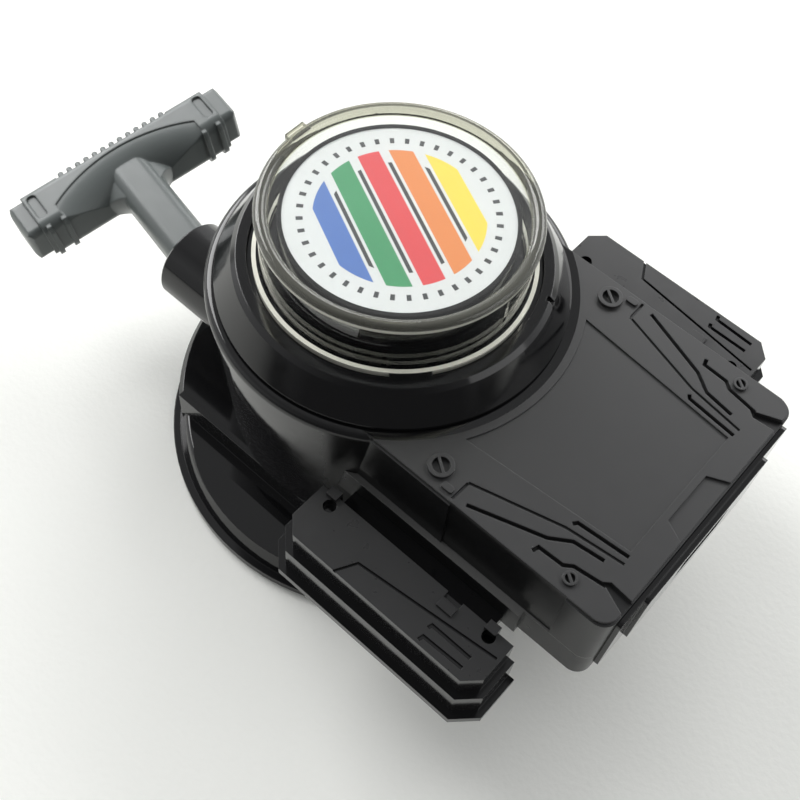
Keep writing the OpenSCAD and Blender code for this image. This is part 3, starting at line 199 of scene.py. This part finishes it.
def cord_along(name, path, radius, finish, sides=12):
    """A plain mesh of cord along a path, with its girth and length as a UV map."""
    line = bpy.data.curves.new(name + "_path", "CURVE")
    line.dimensions = "3D"
    spline = line.splines.new("POLY")
    spline.points.add(len(path) - 1)
    for point, place in zip(spline.points, path):
        point.co = (*place, 1.0)
    guide = bpy.data.objects.new(name + "_path", line)
    bpy.context.scene.collection.objects.link(guide)
    sweep = guide.modifiers.new("cord", "NODES")
    sweep.node_group = laid_cord
    given = {"Cord Radius": radius, "Sides": sides, "Finish": finish}
    for socket in laid_cord.interface.items_tree:
        if socket.name in given:
            sweep[socket.identifier] = given[socket.name]
    graph = bpy.context.evaluated_depsgraph_get()
    mesh = bpy.data.meshes.new_from_object(guide.evaluated_get(graph), depsgraph=graph)
    mesh.name = name
    guide.modifiers.remove(sweep)
    bpy.data.objects.remove(guide)
    girth = [value.value for value in mesh.attributes["cord_girth"].data]
    length = [value.value for value in mesh.attributes["cord_length"].data]
    uv = mesh.uv_layers.new(name="girth_length")
    for face in mesh.polygons:
        face.use_smooth = len(face.vertices) == 4
        wraps = max(girth[v] for v in face.vertices) > 0.5
        for loop, v in zip(face.loop_indices, face.vertices):
            past_seam = wraps and girth[v] == 0.0
            uv.data[loop].uv = (1.0 if past_seam else girth[v], length[v])
    for label in ("cord_girth", "cord_length"):
        mesh.attributes.remove(mesh.attributes[label])
    piece = bpy.data.objects.new(name, mesh)
    bpy.context.scene.collection.objects.link(piece)
    return piece


laid_cord = cord_tree()
cord_r = 0.7 * MM
cord_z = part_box("cord_lead")[0].z + cord_r
spool_leave_x, spool_leave_y = -5.94 * MM, -11.35 * MM
stem_tip_x, stem_tip_y = -35.4 * MM, -10.72 * MM
stem_yaw = math.radians(11.7)
stem_seat, knot_reach, knot_gap = 3.6 * MM, 23.2 * MM, 0.6 * MM
lead_steps, stem_steps = 30, 12
knot_wraps, wrap_steps, wrap_r, wrap_pitch = 2, 20, 1.38 * MM, 1.42 * MM
swell_turns = 0.3
stem_tip = Vector((stem_tip_x, stem_tip_y, cord_z))
pull_way = Vector((-math.cos(stem_yaw), math.sin(stem_yaw), 0.0))
stem_over = Vector((0.0, 0.0, 1.0))
stem_side = stem_over.cross(pull_way)
lead_start = Vector((spool_leave_x, spool_leave_y, cord_z))
stem_mouth = stem_tip - pull_way * stem_seat
knot_start = stem_tip + pull_way * knot_reach
cord_path = [lead_start.lerp(stem_mouth, i / lead_steps) for i in range(lead_steps + 1)]
cord_path += [stem_mouth.lerp(knot_start, i / stem_steps) for i in range(1, stem_steps + 1)]
for i in range(knot_wraps * wrap_steps + 1):
    a = 2.0 * math.pi * i / wrap_steps
    swell = min(1.0, i / (swell_turns * wrap_steps))
    around = stem_side * math.cos(a) + stem_over * math.sin(a)
    ahead = knot_reach + knot_gap + i / wrap_steps * wrap_pitch
    cord_path.append(stem_tip + pull_way * ahead + around * wrap_r * swell)
cord_finish = braided_cord("braided_cord", pale=(0.62, 0.6, 0.55), painted_groove_shade=(0.3, 0.29, 0.27))
pull_cord = cord_along("pull_cord", cord_path, cord_r, cord_finish)
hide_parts("cord_lead", "cord_end")
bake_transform(pull_cord)


# Base skirt
# Injection-moulded black ABS with a polished outside: foot flange, leaning wall
# and raised block in one piece, screwed up into the drum from below.
def axis_radius(tree, place):
    """Distance from the hub axis and height above the foot, of a place on a piece."""
    axes = add_node(tree, "ShaderNodeSeparateXYZ")
    tree.links.new(place, axes.inputs[0])
    squares = [calculate(tree, "MULTIPLY", axes.outputs[k], axes.outputs[k]) for k in ("X", "Y")]
    return calculate(tree, "SQRT", calculate(tree, "ADD", *squares)), axes.outputs["Z"]


def moulded_plastic(name, colour, gloss, grain=0.02, grain_size=0.22, edge=0.22, haze=0.03,
                    satin_or_highlight_above=None, satin_beyond=0.0, satin=0.4, satin_or_highlight_colour=None):
    """Moulded plastic: faint flow clouds, uneven gloss, fine tool grain and eased edges.
    Faces above a height and beyond a radius can carry a satin skin or a painted highlight,
    in a colour of their own; sizes are in mm."""
    flow_scale, flow_detail, flow_spread = 55.0, 3.0, 0.07
    rub_scale, rub_detail, rub_low, rub_high = 420.0, 4.0, 0.3, 0.7
    tooling_detail, edge_samples, plastic_ior = 2.0, 4, 1.5
    finish, tree, shader = new_finish(name)
    place = add_node(tree, "ShaderNodeTexCoord").outputs["Object"]
    flow = add_node(tree, "ShaderNodeTexNoise")
    flow.inputs["Scale"].default_value = flow_scale
    flow.inputs["Detail"].default_value = flow_detail
    tree.links.new(place, flow.inputs["Vector"])
    thin = tuple(c * (1.0 - flow_spread) for c in colour)
    rich = tuple(c * (1.0 + flow_spread) for c in colour)
    tint = mix_colour(tree, flow.outputs["Fac"], thin, rich)
    rub = add_node(tree, "ShaderNodeTexNoise")
    rub.inputs["Scale"].default_value = rub_scale
    rub.inputs["Detail"].default_value = rub_detail
    tree.links.new(place, rub.inputs["Vector"])
    gloss_value = spread_value(tree, rub.outputs["Fac"], gloss - haze, gloss + haze, rub_low, rub_high)
    # The colour above the height is a real satin skin, or on the tray a painted highlight.
    if satin_or_highlight_above is not None:
        radius, height = axis_radius(tree, place)
        satin_or_highlight_skin = calculate(tree, "MULTIPLY", calculate(tree, "GREATER_THAN", height, satin_or_highlight_above * MM),
                         calculate(tree, "GREATER_THAN", radius, satin_beyond * MM))
        lift = calculate(tree, "MULTIPLY", satin_or_highlight_skin, satin - gloss)
        gloss_value = calculate(tree, "ADD", gloss_value, lift)
        tint = mix_colour(tree, satin_or_highlight_skin, tint, satin_or_highlight_colour)
    tree.links.new(tint, shader.inputs["Base Color"])
    tree.links.new(gloss_value, shader.inputs["Roughness"])
    tooling = add_node(tree, "ShaderNodeTexNoise")
    tooling.inputs["Scale"].default_value = 1.0 / (grain_size * MM)
    tooling.inputs["Detail"].default_value = tooling_detail
    tree.links.new(place, tooling.inputs["Vector"])
    eased = add_node(tree, "ShaderNodeBevel", samples=edge_samples)
    eased.inputs["Radius"].default_value = edge * MM
    bump = add_node(tree, "ShaderNodeBump")
    bump.inputs["Strength"].default_value = 1.0
    bump.inputs["Distance"].default_value = grain * MM
    tree.links.new(tooling.outputs["Fac"], bump.inputs["Height"])
    tree.links.new(eased.outputs["Normal"], bump.inputs["Normal"])
    tree.links.new(bump.outputs["Normal"], shader.inputs["Normal"])
    shader.inputs["IOR"].default_value = plastic_ior
    return finish, tree, shader


def dress(node, finish):
    """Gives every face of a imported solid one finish."""
    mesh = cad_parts[node].data
    mesh.materials.clear()
    mesh.materials.append(finish)


gloss_black = (0.006, 0.006, 0.0065)
polished_grain = 0.0015
polished_black = moulded_plastic("polished_black_plastic", gloss_black, gloss=0.08,
                                 grain=polished_grain, haze=0.02)[0]
dress("base_skirt", polished_black)

# Upper housing
# Drum, deck and box shell in one black moulding. The deck and the box's walls have
# a spark-eroded satin skin, and the drum's wall is left as bright as the skirt.
deck_low, drum_edge_r = 44.8, 30.1
box_near_x, box_full_x, box_satin = 2.0 * MM, 12.0 * MM, 0.26
housing_black, shell_tree, shell_shader = moulded_plastic(
    "housing_black_plastic", gloss_black, gloss=0.05, grain=polished_grain, haze=0.02, satin_or_highlight_above=deck_low,
    satin_beyond=drum_edge_r, satin=0.4, satin_or_highlight_colour=(0.029, 0.029, 0.0295))
shell_place = add_node(shell_tree, "ShaderNodeTexCoord").outputs["Object"]
shell_axes = add_node(shell_tree, "ShaderNodeSeparateXYZ")
shell_tree.links.new(shell_place, shell_axes.inputs[0])
box_skin = spread_value(shell_tree, shell_axes.outputs["X"], 0.0, box_satin, box_near_x, box_full_x)
below_deck = calculate(shell_tree, "LESS_THAN", shell_axes.outputs["Z"], deck_low * MM)
box_wall = calculate(shell_tree, "MULTIPLY", box_skin, below_deck)
shell_gloss = shell_shader.inputs["Roughness"].links[0].from_socket
shell_tree.links.new(calculate(shell_tree, "ADD", shell_gloss, box_wall), shell_shader.inputs["Roughness"])
dress("upper_housing", housing_black)

# Box floor and end plate
# Black tray that closes the box from below, held by two screws, and the layered
# cover with its grip pocket that snaps over the end wall. Above the ledge's height the
# tray is painted light grey, a painted highlight along the box's foot.
painted_ledge_highlight_low = 31.95
# The light grey above this height is a painted highlight on the ledge, not a real colour.
tray_black = moulded_plastic("tray_black_plastic", colour=(0.008, 0.008, 0.0085), gloss=0.3,
                             grain=polished_grain, satin_or_highlight_above=painted_ledge_highlight_low, satin=0.34,
                             satin_or_highlight_colour=(0.15, 0.15, 0.147))[0]
dress("box_floor", tray_black)
dress("end_plate", polished_black)

# Side pods
# Two hollow black mouldings on thin webs, with stepped outer walls and small
# lugs; their tops carry the same satin skin as the deck.
pod_top_low = 34.55
pod_black = moulded_plastic("pod_black_plastic", gloss_black, gloss=0.12, grain=polished_grain, edge=0.1,
                            satin_or_highlight_above=pod_top_low, satin=0.3, satin_or_highlight_colour=(0.02, 0.02, 0.0205))[0]
dress("front_side_pod", pod_black)
dress("rear_side_pod", pod_black)

# Cord neck and eyelet
# Short black tube let into the drum's wall, with a turned brass eyelet in its
# web that saves the plastic from the running cord.
dress("cord_neck", polished_black)


def bright_metal(name, colour, gloss, brush=900.0):
    """Drawn or turned metal with fine marks that vary its gloss and surface."""
    mark_detail, mark_low, mark_high, mark_dulling = 5.0, 0.35, 0.65, 0.18
    shade, relief, relief_strength = 0.8, 0.01 * MM, 0.4
    finish, tree, shader = new_finish(name)
    place = add_node(tree, "ShaderNodeTexCoord").outputs["Object"]
    marks = add_node(tree, "ShaderNodeTexNoise")
    marks.inputs["Scale"].default_value = brush
    marks.inputs["Detail"].default_value = mark_detail
    tree.links.new(place, marks.inputs["Vector"])
    dull = tuple(c * shade for c in colour)
    tree.links.new(mix_colour(tree, marks.outputs["Fac"], dull, colour), shader.inputs["Base Color"])
    dullness = spread_value(tree, marks.outputs["Fac"], gloss, gloss + mark_dulling, mark_low, mark_high)
    tree.links.new(dullness, shader.inputs["Roughness"])
    bump = add_node(tree, "ShaderNodeBump")
    bump.inputs["Strength"].default_value = relief_strength
    bump.inputs["Distance"].default_value = relief
    tree.links.new(marks.outputs["Fac"], bump.inputs["Height"])
    tree.links.new(bump.outputs["Normal"], shader.inputs["Normal"])
    shader.inputs["Metallic"].default_value = 1.0
    return finish


turned_brass = bright_metal("turned_brass", colour=(0.66, 0.47, 0.2), gloss=0.22)
dress("cord_eyelet", turned_brass)

# Cord spool and its winding
# Acetal spool with two flanges and a spring arbor. About 0.9 m of the same
# cord is wound on it in three layers, and a gear is keyed on below.
acetal = moulded_plastic("natural_acetal", colour=(0.72, 0.69, 0.6), gloss=0.36, grain=0.003)[0]
dress("cord_spool", acetal)
dress("spool_gear", acetal)
layer_turns, turn_steps = 5, 40
layer_radii = [8.4 * MM, 9.75 * MM, 11.1 * MM]
turn_pitch, wound_cord_r, step_up_turns = 1.42 * MM, 0.68 * MM, 0.25
winding_mid = (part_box("cord_winding")[0].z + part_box("cord_winding")[1].z) / 2
winding_path = []
for layer, radius in enumerate(layer_radii):
    climb = 1.0 if layer % 2 == 0 else -1.0
    for i in range(layer_turns * turn_steps):
        share = i / (layer_turns * turn_steps - 1)
        ease = min(1.0, i / (step_up_turns * turn_steps))
        below = layer_radii[max(layer - 1, 0)]
        a = 2.0 * math.pi * (i / turn_steps + layer * layer_turns)
        reach = below + (radius - below) * ease
        rise = climb * (share - 0.5) * (layer_turns - 1) * turn_pitch
        winding_path.append(Vector((reach * math.cos(a), reach * math.sin(a), winding_mid + rise)))
wound_cord = cord_along("wound_cord", winding_path, wound_cord_r, cord_finish, sides=10)
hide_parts("cord_winding")
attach(wound_cord, "spool")

# Gear train
# Moulded acetal gears: the keyed spool gear drives the counter pinion, and the
# counter gear drives the pinion pressed on the hub's shaft.
dress("counter_gear", acetal)
dress("hub_pinion", acetal)

# Bearings, plates and spring
# Pressed steel plate over the gears, turned steel shaft and axle, a brass bush
# in the base, and a blued spring band in its closed cup.
plated_steel = bright_metal("plated_steel", colour=(0.62, 0.62, 0.63), gloss=0.2)
dress("mechanism_plate", plated_steel)
dress("drive_shaft", plated_steel)
dress("counter_axle", plated_steel)
dress("spring_cover", plated_steel)
dress("hub_bush", turned_brass)
dress("mainspring", bright_metal("blued_spring_steel", colour=(0.2, 0.21, 0.25), gloss=0.28))

# Screws
# Plated cross-head screws: four up through the base, two through the box floor
# and three that hold the dial's retaining ring.
for group in ("housing_screws", "box_screws", "retainer_screws"):
    dress(group, plated_steel)

# Hooked hub
# Grey-black nylon disc on the shaft's end, with three hooks and a socket that
# take hold of a top under the skirt.
hub_nylon = moulded_plastic("dark_nylon", colour=(0.02, 0.02, 0.022), gloss=0.4, grain=0.004)[0]
dress("top_holder", hub_nylon)
dress("dial_retainer", hub_nylon)

# Selector dial and disc holder
# Polished black ring that turns between two stops, held down by the retaining
# ring, and the black cup that lifts the printed disc up under the cap.
dial_black = moulded_plastic("polished_dial_plastic", colour=(0.005, 0.005, 0.0055), gloss=0.09,
                             grain=0.0008)[0]
dress("selector_dial", dial_black)
dress("disc_holder", dial_black)


# Printed disc
# White coated card with a plain geometric print: five slanted colour bands cut
# to a circle, narrow dark bands between them, and a ring of dark tick marks.
def soft_band(tree, value, low, high, soften=0.06 * MM):
    """One between two values and none elsewhere, with a slightly soft ink edge."""
    after = spread_value(tree, value, 0.0, 1.0, low - soften, low + soften)
    before = spread_value(tree, value, 1.0, 0.0, high - soften, high + soften)
    return calculate(tree, "MULTIPLY", after, before)


disc_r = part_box("printed_disc")[1].x
band_slant = math.radians(64.0)
band_w, band_gap = 0.2 * disc_r, 0.085 * disc_r
field_r, dark_field_r = 0.74 * disc_r, 0.6 * disc_r
line_half = 0.2 * band_gap
tick_count, tick_share, tick_soften = 40, 0.3, 0.03
tick_inner_r, tick_outer_r = 0.82 * disc_r, 0.88 * disc_r
fibre_scale, fibre_relief, fibre_strength = 1400.0, 0.01 * MM, 0.3
card_grey, card_white = (0.56, 0.57, 0.585), (0.61, 0.62, 0.635)
card_gloss, card_dull = 0.42, 0.56
before_centre = -1.0
printed_card, card_tree, card_shader = new_finish("printed_card")
card_place = add_node(card_tree, "ShaderNodeTexCoord").outputs["Object"]
card_axes = add_node(card_tree, "ShaderNodeSeparateXYZ")
card_tree.links.new(card_place, card_axes.inputs[0])
card_radius = axis_radius(card_tree, card_place)[0]
across = calculate(card_tree, "ADD",
                   calculate(card_tree, "MULTIPLY", card_axes.outputs["X"], math.cos(band_slant)),
                   calculate(card_tree, "MULTIPLY", card_axes.outputs["Y"], math.sin(band_slant)))
fibre = add_node(card_tree, "ShaderNodeTexNoise")
fibre.inputs["Scale"].default_value = fibre_scale
card_tree.links.new(card_place, fibre.inputs["Vector"])
card_colour = mix_colour(card_tree, fibre.outputs["Fac"], card_grey, card_white)
ink_dark = (0.018, 0.02, 0.024)
inks = [(0.05, 0.13, 0.4), (0.025, 0.23, 0.09), (0.58, 0.035, 0.045),
        (0.62, 0.19, 0.04), (0.72, 0.55, 0.05)]
colour_field = soft_band(card_tree, card_radius, before_centre, field_r)
dark_field = soft_band(card_tree, card_radius, before_centre, dark_field_r)
for k, ink in enumerate(inks):
    middle = (k - len(inks) // 2) * (band_w + band_gap)
    band = soft_band(card_tree, across, middle - band_w / 2, middle + band_w / 2)
    printed = calculate(card_tree, "MULTIPLY", band, colour_field)
    card_colour = mix_colour(card_tree, printed, card_colour, ink)
    if k > 0:
        between = middle - (band_w + band_gap) / 2
        band = soft_band(card_tree, across, between - line_half, between + line_half)
        printed = calculate(card_tree, "MULTIPLY", band, dark_field)
        card_colour = mix_colour(card_tree, printed, card_colour, ink_dark)
angle = calculate(card_tree, "ARCTAN2", card_axes.outputs["Y"], card_axes.outputs["X"])
tick_turn = calculate(card_tree, "MULTIPLY", angle, tick_count / (2.0 * math.pi))
tick_phase = calculate(card_tree, "FRACT", tick_turn)
ticks = calculate(card_tree, "MULTIPLY", soft_band(card_tree, tick_phase, 0.0, tick_share, tick_soften),
                  soft_band(card_tree, card_radius, tick_inner_r, tick_outer_r))
card_colour = mix_colour(card_tree, ticks, card_colour, ink_dark)
card_tree.links.new(card_colour, card_shader.inputs["Base Color"])
card_dullness = spread_value(card_tree, fibre.outputs["Fac"], card_gloss, card_dull)
card_tree.links.new(card_dullness, card_shader.inputs["Roughness"])
card_bump = add_node(card_tree, "ShaderNodeBump")
card_bump.inputs["Strength"].default_value = fibre_strength
card_bump.inputs["Distance"].default_value = fibre_relief
card_tree.links.new(fibre.outputs["Fac"], card_bump.inputs["Height"])
card_tree.links.new(card_bump.outputs["Normal"], card_shader.inputs["Normal"])
dress("printed_disc", printed_card)

# Clear cap
# Clear polystyrene cup with a full bead round its top, dropped over the holder
# and keyed to the dial. The thick bead and flange look grey-green and slightly
# cloudy; the wall and the top are polished, with faint rub marks. A cream band round
# the bead's lower edge and the flange's rim is a painted highlight.
cap_low, cap_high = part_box("clear_cap")
bead_low, bead_inner_r = cap_high.z - 2.25 * MM, 19.7 * MM
flange_high, flange_highlight_r = cap_low.z + 1.1 * MM, 21.75 * MM
bead_highlight_low, bead_highlight_high, bead_highlight_r = cap_high.z - 1.75 * MM, cap_high.z - 0.85 * MM, 21.3 * MM
bead_tint, highlight_tint = (0.6, 0.6, 0.5), (1.0, 0.985, 0.87)
wall_smeared, wall_clean = (0.95, 0.965, 0.945), (0.985, 0.99, 0.98)
bead_cloud, bead_highlight_cloud, flange_highlight_cloud = 0.14, 0.34, 0.84
smear_scale, smear_detail, smear_low, smear_high = 130.0, 6.0, 0.4, 0.75
polish, smear_dulling, smear_relief, smear_strength = 0.0, 0.05, 0.02 * MM, 0.08
clear_ior, shadow_tint = 1.5, (0.93, 0.94, 0.92)
clear_plastic, cap_tree, cap_shader = new_finish("clear_polystyrene")
cap_place = add_node(cap_tree, "ShaderNodeTexCoord").outputs["Object"]
smear = add_node(cap_tree, "ShaderNodeTexNoise")
smear.inputs["Scale"].default_value = smear_scale
smear.inputs["Detail"].default_value = smear_detail
cap_tree.links.new(cap_place, smear.inputs["Vector"])
cap_radius, cap_height = axis_radius(cap_tree, cap_place)
in_bead = calculate(cap_tree, "MULTIPLY", calculate(cap_tree, "GREATER_THAN", cap_height, bead_low),
                    calculate(cap_tree, "GREATER_THAN", cap_radius, bead_inner_r))
in_flange = calculate(cap_tree, "LESS_THAN", cap_height, flange_high)
cap_tint = mix_colour(cap_tree, smear.outputs["Fac"], wall_smeared, wall_clean)
cap_tint = mix_colour(cap_tree, in_bead, cap_tint, bead_tint)
# Painted highlights: cream bands on the flange's rim and round the bead's lower edge, made whiter and less
# clear.
painted_flange_highlight = calculate(cap_tree, "MULTIPLY", in_flange,
                        calculate(cap_tree, "GREATER_THAN", cap_radius, flange_highlight_r))
painted_bead_highlight = calculate(cap_tree, "MULTIPLY", soft_band(cap_tree, cap_height, bead_highlight_low, bead_highlight_high),
                      calculate(cap_tree, "GREATER_THAN", cap_radius, bead_highlight_r))
painted_highlight_line = calculate(cap_tree, "MAXIMUM", painted_flange_highlight, painted_bead_highlight)
cap_tint = mix_colour(cap_tree, painted_highlight_line, cap_tint, highlight_tint)
cap_tree.links.new(cap_tint, cap_shader.inputs["Base Color"])
cap_dullness = spread_value(cap_tree, smear.outputs["Fac"], polish, smear_dulling, smear_low, smear_high)
cap_tree.links.new(cap_dullness, cap_shader.inputs["Roughness"])
cloudy = calculate(cap_tree, "ADD", calculate(cap_tree, "MULTIPLY", in_bead, bead_cloud),
                   calculate(cap_tree, "MULTIPLY", painted_bead_highlight, bead_highlight_cloud))
cloudy = calculate(cap_tree, "ADD", cloudy, calculate(cap_tree, "MULTIPLY", painted_flange_highlight, flange_highlight_cloud))
cap_tree.links.new(calculate(cap_tree, "SUBTRACT", 1.0, cloudy), cap_shader.inputs["Transmission Weight"])
cap_bump = add_node(cap_tree, "ShaderNodeBump")
cap_bump.inputs["Strength"].default_value = smear_strength
cap_bump.inputs["Distance"].default_value = smear_relief
cap_tree.links.new(smear.outputs["Fac"], cap_bump.inputs["Height"])
cap_tree.links.new(cap_bump.outputs["Normal"], cap_shader.inputs["Normal"])
cap_shader.inputs["IOR"].default_value = clear_ior
light_path = add_node(cap_tree, "ShaderNodeLightPath")
let_through = add_node(cap_tree, "ShaderNodeBsdfTransparent")
let_through.inputs["Color"].default_value = (*shadow_tint, 1.0)
cap_mix = add_node(cap_tree, "ShaderNodeMixShader")
cap_tree.links.new(light_path.outputs["Is Shadow Ray"], cap_mix.inputs["Fac"])
cap_tree.links.new(cap_shader.outputs["BSDF"], cap_mix.inputs[1])
cap_tree.links.new(let_through.outputs["BSDF"], cap_mix.inputs[2])
cap_output = next(n for n in cap_tree.nodes if n.type == "OUTPUT_MATERIAL")
cap_tree.links.new(cap_mix.outputs["Shader"], cap_output.inputs["Surface"])
dress("clear_cap", clear_plastic)

# Handle
# Mid-grey glass-filled plastic T bar with a fine matt grain, moulded in one with
# its stem; a small plug of the same plastic hides the knot.
grip_grey = (0.115, 0.129, 0.126)
handle_grey = moulded_plastic("grey_grip_plastic", grip_grey, gloss=0.34, grain=0.006, grain_size=0.2,
                              edge=0.5)[0]
dress("handle_grip", handle_grey)
dress("knot_cover", handle_grey)

# Floor and light
# Pale matt paper under a soft light at the neck's side, one over the backdrop and a
# weak fill past the box's end. The ceiling is dim, and the room is dark on the side
# that the camera stands on, where the paper's colour fades to dark grey as painted shade.
paper_grey, paper_white = (0.93, 0.935, 0.895), (0.95, 0.955, 0.915)
painted_paper_shade, painted_shade_start, painted_shade_full = (0.13, 0.13, 0.128), 0.2, 0.5
paper_scale, paper_detail, paper_dullness = 900.0, 4.0, 0.8
paper_relief, paper_strength = 0.15 * MM, 0.35
room_x, room_y, room_dip = 0.62, -0.78, -0.12
paper, paper_tree, paper_shader = new_finish("pale_paper")
paper_place = add_node(paper_tree, "ShaderNodeTexCoord").outputs["Object"]
paper_noise = add_node(paper_tree, "ShaderNodeTexNoise")
paper_noise.inputs["Scale"].default_value = paper_scale
paper_noise.inputs["Detail"].default_value = paper_detail
paper_tree.links.new(paper_place, paper_noise.inputs["Vector"])
paper_tint = mix_colour(paper_tree, paper_noise.outputs["Fac"], paper_grey, paper_white)
# Painted shade: the paper's colour darkens toward the room side where the camera stands.
toward_room = add_node(paper_tree, "ShaderNodeVectorMath", operation="DOT_PRODUCT")
toward_room.inputs[1].default_value = (room_x, room_y, 0.0)
paper_tree.links.new(paper_place, toward_room.inputs[0])
painted_shade_mask = spread_value(paper_tree, toward_room.outputs["Value"], 0.0, 1.0, painted_shade_start, painted_shade_full)
paper_tree.links.new(mix_colour(paper_tree, painted_shade_mask, paper_tint, painted_paper_shade),
                     paper_shader.inputs["Base Color"])
paper_shader.inputs["Roughness"].default_value = paper_dullness
paper_bump = add_node(paper_tree, "ShaderNodeBump")
paper_bump.inputs["Strength"].default_value = paper_strength
paper_bump.inputs["Distance"].default_value = paper_relief
paper_tree.links.new(paper_noise.outputs["Fac"], paper_bump.inputs["Height"])
paper_tree.links.new(paper_bump.outputs["Normal"], paper_shader.inputs["Normal"])
floor_mesh = bpy.data.meshes.new("floor")
floor_half, floor_drop = 3.0, 0.2 * MM
floor_corners = [(x * floor_half, y * floor_half, 0) for x, y in ((-1, -1), (1, -1), (1, 1), (-1, 1))]
floor_mesh.from_pydata(floor_corners, [], [(0, 1, 2, 3)])
floor_mesh.materials.append(paper)
floor = bpy.data.objects.new("floor", floor_mesh)
floor.location.z = -floor_drop
bpy.context.scene.collection.objects.link(floor)

sky_bright, sky_dark, sky_bright_end, sky_dark_start = 1.15, 0.13, -0.35, 0.75
ceiling_glow, ceiling_start, ceiling_full = 0.42, 0.5, 0.8
sky_tint = (0.98, 0.99, 1.0)
world = bpy.data.worlds.new("white_tent")
world.use_nodes = True
sky_tree = world.node_tree
sky = sky_tree.nodes["Background"]
sky_way = add_node(sky_tree, "ShaderNodeTexCoord").outputs["Generated"]
room_side = add_node(sky_tree, "ShaderNodeVectorMath", operation="DOT_PRODUCT")
room_side.inputs[1].default_value = (room_x, room_y, room_dip)
sky_tree.links.new(sky_way, room_side.inputs[0])
sky_axes = add_node(sky_tree, "ShaderNodeSeparateXYZ")
sky_tree.links.new(sky_way, sky_axes.inputs[0])
ceiling = spread_value(sky_tree, sky_axes.outputs["Z"], 1.0, ceiling_glow, ceiling_start, ceiling_full)
sky_glow = spread_value(sky_tree, room_side.outputs["Value"], sky_bright, sky_dark,
                        sky_bright_end, sky_dark_start)
sky_glow = calculate(sky_tree, "MULTIPLY", sky_glow, ceiling)
sky.inputs["Color"].default_value = (*sky_tint, 1.0)
sky_tree.links.new(sky_glow, sky.inputs["Strength"])
bpy.context.scene.world = world


def soft_light(name, place, aim, size, power):
    """A rectangular light at a place, turned to an aim, with a power in watts."""
    light_data = bpy.data.lights.new(name, "AREA")
    light_data.shape = "RECTANGLE"
    light_data.size, light_data.size_y = size
    light_data.energy = power
    light = bpy.data.objects.new(name, light_data)
    light.location = place
    light.rotation_mode = "QUATERNION"
    light.rotation_quaternion = (Vector(aim) - Vector(place)).to_track_quat("-Z", "Y")
    bpy.context.scene.collection.objects.link(light)


soft_light("tent_side", place=(-0.55, 0.06, 0.42), aim=(0.0, 0.02, 0.02), size=(0.4, 0.4), power=3.6)
soft_light("backdrop", place=(-0.1, 0.75, 0.5), aim=(-0.05, 0.25, 0.0), size=(0.8, 0.4), power=4.3)
soft_light("right_fill", place=(0.45, 0.12, 0.24), aim=(0.15, -0.05, 0.0), size=(0.3, 0.3), power=0.32)
bpy.context.scene.view_settings.view_transform = "Standard"
